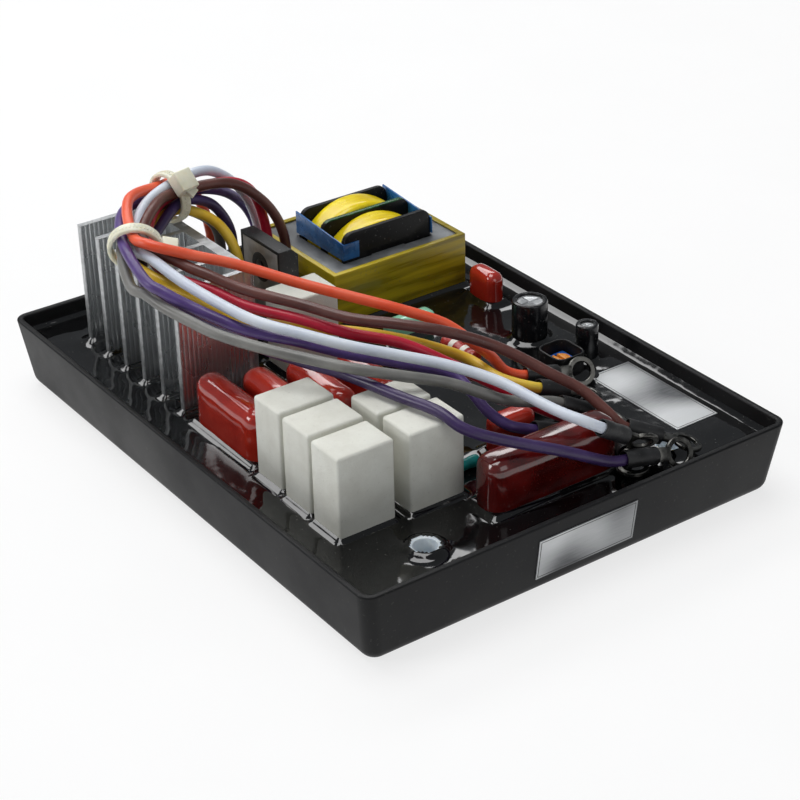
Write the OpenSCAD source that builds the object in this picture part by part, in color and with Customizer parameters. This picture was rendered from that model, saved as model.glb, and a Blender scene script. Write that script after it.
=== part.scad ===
// Automatic voltage regulator for a small generator.
// A shallow black tray holds a circuit board drowned in black potting resin. A finned heat sink,
// two power devices, a two-chamber transformer, resistors, capacitors and a trimmer stand out of it.
// Eight wires rise from the resin behind the heat sink, are strapped twice and end in ring lugs.
// Millimetres; the origin is the middle of the tray's underside, +Z up, +X towards the spacer end.

/* [Tray] */
// Length of the tray over its rim, along X
tray_l = 140; // [138:1:150]
// Width of the tray over its rim, along Y
tray_w = 105; // [104:1:115]
// Height of the tray from the underside to the rim
tray_h = 16.5; // [16.5:0.5:18]
// Thickness of the side walls
tray_wall = 1.5; // [1.2:0.1:1.8]
// Thickness of the tray floor
tray_floor = 1.6; // [1.2:0.1:1.6]
// How far each wall leans in from rim to underside
tray_draft = 2.2; // [1.6:0.1:2.4]
// Radius of the upright corners
tray_corner_r = 3; // [2.5:0.5:5]
// Radius of the bottom edge
tray_foot_r = 3; // [2:0.5:3.5]

/* [Board and resin] */
// Depth of the resin surface below the rim
pot_drop = 3.85; // [3.55:0.05:3.95]
// Height of the board above the tray floor
board_lift = 3.1; // [2.5:0.1:3.1]
// Thickness of the circuit board
board_t = 1.6; // [1.2:0.1:1.6]
// Space between the board edge and the tray wall
board_margin = 2.5; // [2:0.5:3]
// Clearance kept round pieces that stand in the resin
part_gap = 0.3; // [0.2:0.05:0.35]

/* [Mounting spacers] */
// Distance between the two mounting holes, along Y
spacer_spacing = 61; // [58:1:64]
// Distance of the holes from the spacer end of the tray
spacer_inset = 12; // [11.5:0.5:13]
// Outer diameter of a spacer tube
spacer_d = 7.5; // [7:0.1:7.8]
// Bore of a spacer tube
spacer_bore = 4.7; // [4:0.1:5]
// Height of a spacer above the resin
spacer_rise = 1; // [0.5:0.1:1]

/* [Heat sink] */
// Height of the heat sink above the board
sink_h = 35; // [30:0.5:35]
// Number of fins
sink_fins = 6; // [4:1:6]
// Distance from fin to fin
fin_pitch = 8.15; // [6.5:0.05:8.15]
// Thickness of a fin between its ribs
fin_t = 1.3; // [1:0.1:1.5]
// Length of a fin from the back plate to its tip
fin_l = 16.5; // [14:0.5:16.5]
// Thickness of the back plate
sink_back_t = 2.5; // [2:0.1:2.5]
// Number of ribs along each fin face
fin_ribs = 15; // [10:1:18]
// Height of a rib
rib_h = 0.25; // [0.15:0.05:0.3]

/* [Power devices] */
// Width of a power device
dev_w = 15.6; // [14:0.2:15.6]
// Height of a power device body
dev_h = 20.6; // [19:0.2:20.6]
// Thickness of a power device with its metal tab
dev_t = 4.9; // [4.5:0.1:4.9]
// Diameter of the fixing hole
dev_hole_d = 3.6; // [3.5:0.1:4]
// Thickness of the metal tab
tab_t = 1.2; // [1:0.1:1.6]
// Diameter of the screw shank
screw_d = 3; // [2.6:0.1:3]

/* [Transformer] */
// Length of the laminated core, along X
core_l = 31.3; // [30.5:0.1:32]
// Width of the core, along Y
core_w = 35.5; // [35:0.1:36.5]
// Thickness of the core
core_t = 13.3; // [12.5:0.1:13.5]
// Width of the middle leg
leg_w = 9.1; // [8:0.1:10]
// Length of the bobbin over its outer flanges
bobbin_l = 18.4; // [17:0.1:18.4]
// Width of the bobbin flanges
bobbin_w = 24.1; // [23.5:0.1:24.1]
// Height of the bobbin flanges above the board
bobbin_h = 26; // [25.6:0.1:27.2]
// Thickness of a flange
flange_t = 1.2; // [0.8:0.1:1.5]
// Thickness of the yellow tape on the core
tape_t = 0.5; // [0.3:0.1:0.6]
// Width of the tape border folded over the core
tape_lip = 0.8; // [0.6:0.1:1.5]

/* [Resistors] */
// Width of a cement resistor, along X
res_w = 9.2; // [8.4:0.1:9.8]
// Depth of a cement resistor, along Y
res_d = 13; // [12:0.5:13.5]
// Height of a cement resistor above the board
res_h = 25; // [21:0.5:25]
// Edge radius of a cement resistor
res_r = 0.8; // [0.4:0.1:1.2]

/* [Capacitors] */
// Length of a film capacitor, along X
film_l = 21.5; // [19:0.5:21.5]
// Thickness of a film capacitor
film_t = 7; // [6:0.2:7.2]
// Height of a film capacitor above the board
film_h = 18.5; // [16:0.5:18.5]
// Length of the large output capacitor, along Y
big_l = 32; // [29:0.5:32]
// Thickness of the large output capacitor
big_t = 8.2; // [7.4:0.2:8.2]
// Height of the large output capacitor above the board
big_h = 18.7; // [17:0.1:18.7]
// Diameter of the large electrolytic capacitor
ely_d = 8; // [7:0.2:8.4]
// Diameter of the small electrolytic capacitor
ely_small_d = 5; // [4.6:0.2:5.6]

/* [Trimmer] */
// Outer length of the trimmer collar, along X
collar_l = 8.4; // [7.8:0.1:8.4]
// Outer width of the trimmer collar, along Y
collar_w = 8; // [7.6:0.1:8.2]
// Wall of the trimmer collar
collar_wall = 0.5; // [0.4:0.1:0.6]
// Height of the collar above the board
collar_h = 12.3; // [11.5:0.1:13]
// Diameter of the turning rotor
rotor_d = 4.2; // [3.8:0.1:4.4]

/* [Wires] */
// Diameter of a wire over its insulation
wire_d = 2.3; // [1.8:0.1:2.3]
// Outer diameter of a ring lug
ring_d = 6.5; // [6:0.1:6.5]
// Bore of a ring lug
ring_bore = 4.3; // [3.7:0.1:4.4]
// Thickness of a ring lug
ring_t = 0.8; // [0.6:0.1:0.9]
// Wall of an insulating sleeve
sleeve_wall = 0.35; // [0.25:0.05:0.4]

/* [Ties and labels] */
// Width of a cable tie strap
tie_w = 2.4; // [2:0.1:2.6]
// Thickness of a cable tie strap
tie_t = 0.9; // [0.7:0.1:1]
// Thickness of the foil labels
foil_t = 0.2; // [0.1:0.05:0.3]

/* [Hidden] */

// Smooth circles, and the coarser steps used where corners are joined
$fn = 48;
corner_fn = 32;
// Overlap used where pieces of one body join, and overshoot of cuts
join = 0.02;
over = 1;

// Levels above the underside
board_z = tray_floor + board_lift;
board_top = board_z + board_t;
pot_z = tray_h - pot_drop;
// The harness is drawn for this resin level and moves with the real one
route_pot_z = 12.65;
route_shift = [0, 0, pot_z - route_pot_z];

// Half sizes of the tray outside, at a height
function out_l(z) = tray_l / 2 - tray_draft * (1 - z / tray_h);
function out_w(z) = tray_w / 2 - tray_draft * (1 - z / tray_h);
draft_angle = atan(tray_draft / tray_h);
inner_r = tray_corner_r - tray_wall;
slice_t = 0.01;

// Spacers
spacer_x = tray_l / 2 - spacer_inset;
spacer_top = pot_z + spacer_rise;
spacer_hole_r = spacer_d / 2 + part_gap;

// Heat sink: the back plate is fixed, the fins reach towards -Y
sink_x = -34.5;
sink_back_y = -22;
sink_front_y = sink_back_y - sink_back_t;
sink_half = (sink_fins - 1) * fin_pitch / 2;
sink_w = 2 * sink_half + fin_t;
sink_foot_gap = rib_h + part_gap;

// Power devices: one stands free, one is screwed to the back plate
dev_free = [-29.9, -10.5, 38];
dev_fixed = [-36.5, sink_back_y, 36];
dev_hole_drop = 6.2;
dev_chamfer = 1.6;
tab_inset = 0.8;
tab_foot = 2.4;
lead_pitch = 5.4;
lead_w = 1.2;
lead_t = 0.6;
lead_y = 2.6;
screw_head_d = 5.5;
screw_head_h = 1.8;
screw_slot_w = 0.8;
screw_slot_d = 0.9;

// Transformer
core_x = -41.85;
core_y = 24.05;
core_z = pot_z - 0.35;
core_top = core_z + core_t;
bobbin_x = -40.1;
fit = 0.3;
window_l = bobbin_l + 2 * fit;
outer_leg_w = (core_w - bobbin_w) / 2 - fit;
tube_w = leg_w + 2 * flange_t;
tube_t = core_t + 2 * flange_t;
flange_r = 2.5;
chamber_l = (bobbin_l - 3 * flange_t) / 2;
chamber_x = (chamber_l + flange_t) / 2;
wind_gap = 0.8;
wind_w = bobbin_w - 2 * wind_gap;
wind_side = 9.5;
wind_r = norm([wind_w / 2, wind_side]);
wind_foot = 0.7;
rear_drop = -0.9;
front_drop = 0.3;
band_t = 0.35;
band_x0 = bobbin_x - bobbin_l / 2 - 0.7;
band_x1 = bobbin_x + bobbin_l / 2 + band_t;
band_rear_h = 5.4;
band_front_h = 3.9;
band_flap = 4;
band_lift = 0.1;

// Resistor and film capacitor places, middle in X and Y
RES = [[21.2, -35.2], [31.8, -35.5], [42.4, -35.9], [43.2, -19.9], [32.9, -20.2], [-17, -8.5]];
// The front film capacitor is the longest
FILM = [[2.4, -37.8, 2.6], [5, -29, 0], [7.5, -20, 0], [10.5, -9.5, 0]];
film_r = 3;
// Other capacitors: middle in X and Y, then length, width, height above the board, edge radius
BIG = [54.6, 1.5];
big_r = 3.2;
SMALL = [38.7, 5];
small_size = [5.6, 10.5, 15.2];
small_r = 2;
REAR = [-17.2, 41.8];
rear_size = [9.4, 5, 14.4];
rear_r = 2.2;
GREEN = [-14.5, 18];
green_size = [5, 13, 11.2];
green_r = 1.8;

// Small parts lying just above the resin
axial_red_at = [2, 20];
axial_red_l = 11;
axial_red_r = 1.9;
axial_teal_at = [40, -7.7];
axial_teal_l = 7;
axial_teal_r = 1.3;
axial_reach = 1.2;
axial_lead_r = 0.4;
axial_lift = 0.1;
axial_round = 0.5;

// Electrolytic capacitors
ELY = [4.2, 37.5];
ely_h = 16.3;
ELY_SMALL = [19.2, 41.4];
ely_small_h = 15.3;
ely_skin = 0.3;
ely_lip = 0.5;
ely_groove = 0.4;

// Trimmer
TRIM = [20.75, 33];
collar_r = 2.2;
trim_l = 6.1;
trim_w = 5.8;
trim_h = 9.8;
rotor_recess = 1.2;
rotor_gap = 0.3;
rotor_lift = 0.15;
rotor_h = 1.5;
rotor_slot_w = 0.8;
rotor_slot_d = 0.7;

// Labels
label_top_x = 25.8;
label_top_l = 28.2;
label_top_w = 11.2;
label_margin = 2.7;
label_top_y = out_w(pot_z) - tray_wall - label_margin - label_top_w;
label_front_w = 24.4;
label_front_h = 9.4;
label_front_z = 8.4;

// Harness routes, from the resin to the end of the insulation
ORANGE = [[-49.5, -11, 12.65], [-49.5, -11, 28], [-50, -12, 37.5], [-50.4, -15, 44.4],
    [-48.8, -19.4, 48.2], [-46, -24.7, 49.4], [-39.2, -36.2, 51.8], [-26.6, -42.6, 50], [-20, -42, 50],
    [-15, -35, 47.5], [-10, -27.5, 45], [-1.5, -18.5, 41.5], [5.5, -11, 39], [12.5, -3.5, 36.5],
    [18, 4, 33], [22.5, 8.5, 28.5], [22, 13, 24], [22.5, 16, 20], [23.5, 19.5, 18], [24.5, 23, 17.5]];
BROWN = [[-40.5, 3, 12.65], [-40.5, 3, 24], [-40, 1.5, 34], [-40.4, -3, 42], [-40.6, -11.2, 48.2],
    [-41, -23.8, 49.4], [-34, -33.2, 51], [-25.5, -40.7, 48.7], [-16.2, -37.2, 45.8], [-11.5, -34.5, 44.5],
    [-5, -29.5, 42], [5, -22.5, 40.5], [14.5, -17, 39.5], [22, -10, 39], [28, -2, 37], [33.5, 6.5, 33],
    [41.5, 13, 28.5], [46.5, 16.8, 25.8], [51.2, 19, 22.6], [55, 20.6, 19.9], [56.7, 23.3, 18.8]];
RED = [[-43.5, 0.5, 12.65], [-43.5, 0.5, 24], [-43.5, -1, 36], [-43, -4.4, 44], [-43, -11.4, 47.6],
    [-43.6, -24.2, 47.4], [-35.6, -33.4, 47.8], [-25.8, -39.4, 46.2], [-17.8, -40.4, 44],
    [-10, -34.5, 41.5], [-3.5, -30, 39], [5.5, -23, 37.5], [13.5, -16.5, 35.5], [19.5, -8, 33],
    [25, 0, 28], [30.5, 8.5, 22], [34.5, 13, 18.5], [39, 17.5, 16], [43, 21.5, 15.2], [46.5, 23.8, 15],
    [50, 23.8, 15], [53, 22.2, 15]];
WHITE = [[-49, 1.5, 12.65], [-49, 1.5, 24], [-48.5, 0, 34], [-47, -4.6, 43], [-46, -13, 49.8],
    [-43.2, -24.2, 50.4], [-36.8, -34.6, 49.8], [-27, -42, 47], [-19, -42.2, 47], [-8.5, -40, 44.5],
    [5.5, -35, 41.5], [14.5, -29, 40], [22, -22, 38], [28, -14.5, 36], [34.5, -7, 34], [42, -0.5, 31.5],
    [51.5, 3, 29.5], [56, 4.6, 28.8], [59.3, 6.4, 28.2], [61, 9, 26.7], [61, 11.8, 24.9]];
YELLOW = [[-33, -13.5, 12.65], [-33, -13.5, 25], [-34, -14, 34.5], [-37, -15.8, 40.4],
    [-40.3, -19.2, 43.4], [-42, -24.2, 44.8], [-37.6, -34.2, 44.2], [-28.2, -42.8, 44.4],
    [-19.4, -43.6, 44.2], [-12, -39.5, 42], [-7, -34, 37.5], [-1.5, -28.5, 35.5], [4, -20, 34],
    [10, -9, 31.5], [14.5, -0.5, 28.5], [18.5, 9, 23.5], [26.5, 11.5, 21.5], [31.5, 16, 20],
    [32, 20, 18.5]];
VIOLET = [[-52.5, 3.5, 12.65], [-52.5, 3.5, 22], [-52.5, 1.5, 32], [-51, -4, 39.4], [-47.6, -13, 44.8],
    [-46.4, -24.8, 46.8], [-40.4, -36.8, 49], [-28, -44.4, 48.8], [-14, -47.4, 46.4], [-9, -46, 45],
    [-4.5, -42.5, 42.5], [0.5, -39, 40.5], [5, -35, 38.5], [12, -27.5, 36.5], [18.5, -20, 34],
    [24.5, -12, 32], [30, -3.5, 29], [35, -2, 26.5], [39.5, -1.5, 24], [43.5, 0.5, 22], [45, 4, 20.5],
    [45.5, 8, 19]];
PURPLE = [[-41.5, -10.5, 12.65], [-41.5, -10.5, 26], [-41, -11, 36], [-41, -14, 42.6],
    [-40.8, -18.2, 46], [-40.8, -23.6, 46.8], [-34.8, -32.2, 45.2], [-27.2, -40.4, 44],
    [-20.2, -43.8, 40.2], [-14.5, -43, 39], [-5, -39.5, 37], [4, -34.5, 35], [14.5, -29.5, 34],
    [24, -25, 33.5], [37, -21, 33], [46, -18.5, 33], [51.5, -16.5, 31], [55.5, -11, 28.5],
    [61, 0, 24.5], [62.5, 10.5, 19], [63.5, 16.5, 18]];
GREY = [[-46.5, -10.5, 12.65], [-46.5, -10.5, 28], [-46, -13, 37.5], [-44.6, -24.4, 44.8],
    [-40, -36, 45.6], [-28.6, -44.4, 46.4], [-19, -48, 43], [-13.5, -47.5, 43], [-8, -46.5, 42],
    [-1.5, -44.5, 41], [5.5, -42, 40], [13, -37.5, 39], [19.5, -32.5, 38], [28, -26, 37],
    [33.5, -18, 35], [37.5, -9, 32], [42.5, 1, 27], [45, 10.5, 24.5], [46, 14.5, 22.5]];
wire_sides = 8;
wire_steps = 3;

// Ring lugs and sleeves, measured from the end of the insulation
barrel_r = 1.2;
barrel_l = 5.5;
barrel_step = 0.3;
tongue_w = 3;
ring_reach = 10.5;
sleeve_gap = 0.3;
sleeve_back = 2.5;
sleeve_front = 5;
roll_facing = 60;
roll_away = 135;

// Cable ties: middle, run of the bundle and its wide direction
TIE_UPPER = [[-43.5, -24.2, 47.5], [0.2, -1, 0], [0.7, 0.14, 0.7]];
TIE_LOWER = [[-27, -42, 47], [0.83, -0.52, -0.29], [0.45, 0.86, -0.24]];
tie_r = 4.8;
tie_head_l = 4.6;
tie_head_w = 4.4;
tie_head_h = 3.4;
tie_tail_l = 2.4;
tie_tail_turn = 25;

// Colours
black_plastic = [0.15, 0.15, 0.16];
resin = [0.10, 0.10, 0.10];
green_board = [0.10, 0.28, 0.16];
nylon = [0.85, 0.85, 0.80];
bare_aluminium = [0.70, 0.71, 0.72];
device_black = [0.13, 0.13, 0.13];
tinned = [0.72, 0.72, 0.70];
core_grey = [0.36, 0.37, 0.38];
tape_yellow = [0.70, 0.60, 0.08];
wind_yellow = [0.93, 0.80, 0.06];
tape_blue = [0.12, 0.31, 0.50];
cement = [0.88, 0.88, 0.84];
dipped_red = [0.64, 0.16, 0.11];
dipped_dark_red = [0.45, 0.08, 0.08];
dipped_green = [0.55, 0.80, 0.66];
glass_teal = [0.10, 0.50, 0.50];
trimmer_blue = [0.10, 0.30, 0.65];
rotor_orange = [0.85, 0.45, 0.15];
foil = [0.80, 0.81, 0.82];
orange_pvc = [0.94, 0.35, 0.25];
brown_pvc = [0.42, 0.25, 0.22];
red_pvc = [0.78, 0.13, 0.23];
white_pvc = [0.84, 0.87, 0.91];
yellow_pvc = [0.91, 0.76, 0.24];
violet_pvc = [0.40, 0.30, 0.54];
purple_pvc = [0.37, 0.27, 0.50];
grey_pvc = [0.54, 0.54, 0.52];

// Smooth curve through route points, three steps between each pair
function unit(v) = v / norm(v);
function last(P) = P[len(P) - 1];
function before_last(P) = P[len(P) - 2];
function bend(a, b, c, d, t) = (2 * b + (c - a) * t + (2 * a - 5 * b + 4 * c - d) * t * t
    + (3 * b - a - 3 * c + d) * t * t * t) / 2;
function padded(P) = concat([2 * P[0] - P[1]], P, [2 * last(P) - before_last(P)]);
function curve(P) = let (Q = padded(P)) concat(
    [for (i = [0:len(P) - 2]) for (k = [0:wire_steps - 1])
        bend(Q[i], Q[i + 1], Q[i + 2], Q[i + 3], k / wire_steps)], [last(P)]);
function heading(P, C, i) = i == 0 ? unit(P[1] - P[0])
    : i == len(C) - 1 ? unit(last(P) - before_last(P)) : unit(C[i + 1] - C[i - 1]);
function square_to(n, t) = unit(n - (n * t) * t);
function carried(T) = [for (i = 0, n = square_to([1, 0.3, 0], T[0]); i < len(T);
    i = i + 1, n = i < len(T) ? square_to(n, T[i]) : n) n];
function hoop(c, t, n, r) = let (b = cross(t, n))
    [for (k = [0:wire_sides - 1]) c + r * (cos(360 * k / wire_sides) * n + sin(360 * k / wire_sides) * b)];
function skin(m) = [for (i = [0:m - 2]) for (k = [0:wire_sides - 1]) each let (
    a = i * wire_sides + k,
    d = i * wire_sides + (k + 1) % wire_sides)
    [[a, a + wire_sides, d + wire_sides], [a, d + wire_sides, d]]];

// Outline of the finned section: up one face of each fin and down the other
function fin_x(i) = sink_x - sink_half + i * fin_pitch;
function rib_y(k) = sink_front_y - fin_l * k / fin_ribs;
function fin_face(x, side) = [for (k = [0:fin_ribs - 1]) each [
    [x + side * fin_t / 2, rib_y(k)],
    [x + side * (fin_t / 2 + rib_h), rib_y(k + 0.5)]]];
function turned(L) = [for (i = [len(L) - 1:-1:0]) L[i]];
function fin_loop(i) = concat(fin_face(fin_x(i), -1), [[fin_x(i) - fin_t / 2, rib_y(fin_ribs)]],
    [[fin_x(i) + fin_t / 2, rib_y(fin_ribs)]], turned(fin_face(fin_x(i), 1)));
function sink_outline() = concat([for (i = [0:sink_fins - 1]) each fin_loop(i)],
    [[sink_x + sink_half + fin_t / 2, sink_back_y], [sink_x - sink_half - fin_t / 2, sink_back_y]]);

module box(size, at) {
    translate([at[0] - size[0] / 2, at[1] - size[1] / 2, at[2]])
        cube(size);
}

module soft_rect(l, w, r) {
    square([l - 2 * r, w], center = true);
    square([l, w - 2 * r], center = true);
    for (i = [-1, 1], j = [-1, 1])
        translate([i * (l / 2 - r), j * (w / 2 - r)])
            circle(r);
}

module arch(l, h, r) {
    translate([-l / 2, 0])
        square([l, h - r]);
    translate([r - l / 2, 0])
        square([l - 2 * r, h]);
    for (i = [-1, 1])
        translate([i * (l / 2 - r), h - r])
            circle(r);
}

// Block with rounded upright edges and rounded top edges, standing on the board
module soft_block(l, w, h, r, at) {
    translate([at[0], at[1], board_top])
        intersection() {
            linear_extrude(h)
                soft_rect(l, w, r);
            translate([0, w / 2 + over, 0])
                rotate([90, 0, 0])
                    linear_extrude(w + 2 * over)
                        arch(l, h, r);
            translate([-l / 2 - over, 0, 0])
                rotate([90, 0, 90])
                    linear_extrude(l + 2 * over)
                        arch(w, h, r);
        }
}

// Hole in the resin round a block that stands on the board
module well(l, w, at, z = board_top) {
    box([l + 2 * part_gap, w + 2 * part_gap, pot_z - z + over], [at[0], at[1], z]);
}

module round_well(d, at) {
    translate([at[0], at[1], board_top])
        cylinder(d = d + 2 * part_gap, h = pot_z - board_top + over);
}

module foot(r) {
    rotate_extrude($fn = corner_fn)
        intersection() {
            translate([tray_corner_r - r, r])
                circle(r, $fn = corner_fn);
            square([tray_corner_r, r]);
        }
    cylinder(r = tray_corner_r - r, h = r, $fn = corner_fn);
}

module corners(l, w) {
    for (i = [-1, 1], j = [-1, 1])
        translate([i * l, j * w, 0])
            children();
}

module tray_outside() {
    foot_r = min(tray_foot_r, tray_corner_r - slice_t);
    hull() {
        corners(out_l(0) - tray_corner_r, out_w(0) - tray_corner_r)
            foot(foot_r);
        translate([0, 0, tray_h - slice_t])
            corners(tray_l / 2 - tray_corner_r, tray_w / 2 - tray_corner_r)
                cylinder(r = tray_corner_r, h = slice_t, $fn = corner_fn);
    }
}

// Room inside the walls between two heights, drawn in by a gap
module inside(z0, z1, gap) {
    r = inner_r;
    hull()
        for (z = [z0, z1 - slice_t])
            translate([0, 0, z])
                corners(out_l(z) - tray_wall - gap - r, out_w(z) - tray_wall - gap - r)
                    cylinder(r = r, h = slice_t, $fn = corner_fn);
}

module at_spacers() {
    for (s = [-1, 1])
        translate([spacer_x, s * spacer_spacing / 2, 0])
            children();
}

module tray() {
    color(black_plastic)
        difference() {
            tray_outside();
            inside(tray_floor, tray_h + over, 0);
            at_spacers()
                translate([0, 0, -over])
                    cylinder(r = spacer_hole_r, h = tray_floor + 2 * over);
        }
}

module potting() {
    color(resin)
        difference() {
            inside(tray_floor, pot_z, part_gap);
            board_block();
            at_spacers()
                cylinder(r = spacer_hole_r, h = pot_z + over);
            box([sink_w + 2 * sink_foot_gap, sink_back_t + fin_l + 2 * part_gap, pot_z],
                [sink_x, (sink_back_y + sink_front_y - fin_l) / 2, board_top]);
            lead_wells(dev_free);
            lead_wells(dev_fixed);
            well(core_l + 2 * tape_t, core_w + 2 * tape_t, [core_x, core_y], core_z);
            well(bobbin_l, bobbin_w, [bobbin_x, core_y]);
            for (p = RES)
                well(res_w, res_d, p);
            for (p = FILM)
                well(film_l + p[2], film_t, p);
            well(big_t, big_l, BIG);
            well(small_size[0], small_size[1], SMALL);
            well(rear_size[0], rear_size[1], REAR);
            well(green_size[0], green_size[1], GREEN);
            round_well(ely_d, ELY);
            round_well(ely_small_d, ELY_SMALL);
            well(collar_l, collar_w, TRIM);
        }
}

module board_block() {
    l = out_l(board_z) - tray_wall - board_margin;
    w = out_w(board_z) - tray_wall - board_margin;
    box([2 * l, 2 * w, board_t], [0, 0, board_z]);
}

module circuit_board() {
    color(green_board)
        difference() {
            board_block();
            at_spacers()
                cylinder(r = spacer_hole_r + part_gap, h = tray_h);
        }
}

module mounting_spacers() {
    color(nylon)
        at_spacers()
            difference() {
                cylinder(d = spacer_d, h = spacer_top);
                translate([0, 0, -over])
                    cylinder(d = spacer_bore, h = spacer_top + 2 * over);
            }
}

module heat_sink() {
    color(bare_aluminium)
        difference() {
            translate([0, 0, board_top])
                linear_extrude(sink_h)
                    polygon(sink_outline());
            device_hole(dev_fixed);
        }
}

// Fixing hole through a device and what lies behind it
module device_hole(at) {
    translate([at[0], at[1] + 2 * dev_t, at[2] - dev_hole_drop])
        rotate([90, 0, 0])
            cylinder(d = dev_hole_d, h = 4 * dev_t);
}

module device_body(at) {
    difference() {
        translate([at[0] - dev_w / 2, at[1], at[2]])
            rotate([90, 0, 90])
                linear_extrude(dev_w)
                    polygon([[0, 0], [0, -dev_h], [dev_t, -dev_h], [dev_t, -dev_chamfer],
                        [dev_t - dev_chamfer, 0]]);
        tab_room(at);
        device_hole(at);
    }
}

module tab_room(at) {
    box([dev_w - 2 * tab_inset, 2 * tab_t, dev_h - tab_foot - tab_inset],
        [at[0], at[1], at[2] - dev_h + tab_foot]);
}

module device_tab(at) {
    difference() {
        intersection() {
            tab_room(at);
            box([dev_w, tab_t, dev_h], [at[0], at[1] + tab_t / 2, at[2] - dev_h]);
        }
        device_hole(at);
    }
}

module device_lead_set(at) {
    for (k = [-1:1])
        box([lead_w, lead_t, at[2] - dev_h - board_top], [at[0] + k * lead_pitch, at[1] + lead_y, board_top]);
}

module lead_wells(at) {
    for (k = [-1:1])
        well(lead_w, lead_t, [at[0] + k * lead_pitch, at[1] + lead_y]);
}

module device_bodies() {
    color(device_black) {
        device_body(dev_free);
        device_body(dev_fixed);
    }
}

module device_tabs() {
    color(tinned) {
        device_tab(dev_free);
        device_tab(dev_fixed);
    }
}

module device_leads() {
    color(tinned) {
        device_lead_set(dev_free);
        device_lead_set(dev_fixed);
    }
}

// Slotted screw that clamps one device to the heat sink
module device_screw() {
    color(tinned)
        translate([dev_fixed[0], dev_fixed[1] + dev_t, dev_fixed[2] - dev_hole_drop])
            rotate([90, 0, 0])
                difference() {
                    union() {
                        translate([0, 0, -screw_head_h])
                            cylinder(d = screw_head_d, h = screw_head_h);
                        translate([0, 0, -join])
                            cylinder(d = screw_d, h = dev_t + sink_back_t + join);
                    }
                    box([screw_head_d + over, screw_slot_w, screw_slot_d + over],
                        [0, 0, -screw_head_h - over]);
                }
}

module core_block() {
    box([core_l, core_w, core_t], [core_x, core_y, core_z]);
}

// Laminated core with two windows, lying flat, middle leg along X
module transformer_core() {
    window_w = (core_w - leg_w) / 2 - outer_leg_w;
    color(core_grey)
        difference() {
            core_block();
            for (s = [-1, 1])
                box([window_l, window_w, core_t + 2 * over],
                    [bobbin_x, core_y + s * (leg_w + window_w) / 2, core_z - over]);
        }
}

module core_tape() {
    color(tape_yellow)
        difference() {
            box([core_l + 2 * tape_t, core_w + 2 * tape_t, core_t + tape_t], [core_x, core_y, core_z]);
            core_block();
            box([core_l - 2 * tape_lip, core_w - 2 * tape_lip, core_t + 2 * over], [core_x, core_y, core_z]);
        }
}

// Bobbin: a tube on the middle leg and three flanges that part the two windings
module bobbin() {
    color(device_black)
        difference() {
            union() {
                for (k = [-1:1])
                    translate([bobbin_x + k * (bobbin_l - flange_t) / 2 - flange_t / 2, core_y, board_top])
                        rotate([90, 0, 90])
                            linear_extrude(flange_t)
                                arch(bobbin_w, bobbin_h, flange_r);
                box([bobbin_l, tube_w, tube_t], [bobbin_x, core_y, core_z - flange_t]);
            }
            box([core_l, leg_w, core_t], [bobbin_x, core_y, core_z]);
        }
}

// Domed winding in one chamber of the bobbin
module winding(x, drop) {
    top = board_top + bobbin_h - drop;
    translate([x - chamber_l / 2, core_y, 0])
        rotate([90, 0, 90])
            linear_extrude(chamber_l)
                difference() {
                    intersection() {
                        translate([0, top - wind_r])
                            circle(wind_r);
                        translate([-wind_w / 2, board_top + wind_foot])
                            square([wind_w, top]);
                    }
                    translate([-tube_w / 2, core_z - flange_t])
                        square([tube_w, tube_t]);
                }
}

module winding_rear() {
    color(wind_yellow)
        winding(bobbin_x - chamber_x, rear_drop);
}

module winding_front() {
    color(wind_yellow)
        winding(bobbin_x + chamber_x, front_drop);
}

// Blue tape along both sides of the bobbin, with a flap round its front corner
module bobbin_tape() {
    z = core_top + tape_t + band_lift;
    color(tape_blue) {
        for (s = [-1, 1])
            translate([0, core_y + s * (bobbin_w + band_t) / 2 + band_t / 2, z])
                rotate([90, 0, 0])
                    linear_extrude(band_t)
                        polygon([[band_x0, 0], [band_x1, 0], [band_x1, band_front_h], [band_x0, band_rear_h]]);
        translate([band_x1 - band_t, core_y - bobbin_w / 2 - join, z])
            cube([band_t, band_flap, band_front_h]);
    }
}

module cement_resistors() {
    color(cement)
        for (p = RES)
            soft_block(res_w, res_d, res_h, res_r, p);
}

module film_capacitors() {
    color(dipped_red)
        for (p = FILM)
            soft_block(film_l + p[2], film_t, film_h, min(film_r, film_t / 2 - join), p);
}

module output_capacitor() {
    color(dipped_dark_red)
        soft_block(big_t, big_l, big_h, big_r, BIG);
}

module coupling_capacitor() {
    color(dipped_dark_red)
        soft_block(small_size[0], small_size[1], small_size[2], small_r, SMALL);
}

module rear_capacitor() {
    color(dipped_red)
        soft_block(rear_size[0], rear_size[1], rear_size[2], rear_r, REAR);
}

module green_capacitor() {
    color(dipped_green)
        soft_block(green_size[0], green_size[1], green_size[2], green_r, GREEN);
}

// Small round part on two bent wires whose feet stand on the resin
module axial(l, r) {
    z = pot_z + axial_lift + r;
    reach = l / 2 + axial_reach;
    translate([-l / 2, 0, z])
        rotate([0, 90, 0])
            rotate_extrude()
                intersection() {
                    translate([0, l / 2])
                        soft_rect(2 * r, l, axial_round);
                    square([r, l]);
                }
    translate([-reach - axial_lead_r, 0, z])
        rotate([0, 90, 0])
            cylinder(r = axial_lead_r, h = 2 * (reach + axial_lead_r));
    for (s = [-1, 1])
        translate([s * reach, 0, pot_z])
            cylinder(r = axial_lead_r - join, h = z - pot_z);
}

module axial_red() {
    color(dipped_red)
        translate([axial_red_at[0], axial_red_at[1], 0])
            axial(axial_red_l, axial_red_r);
}

module axial_teal() {
    color(glass_teal)
        translate([axial_teal_at[0], axial_teal_at[1], 0])
            rotate([0, 0, 90])
                axial(axial_teal_l, axial_teal_r);
}

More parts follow.
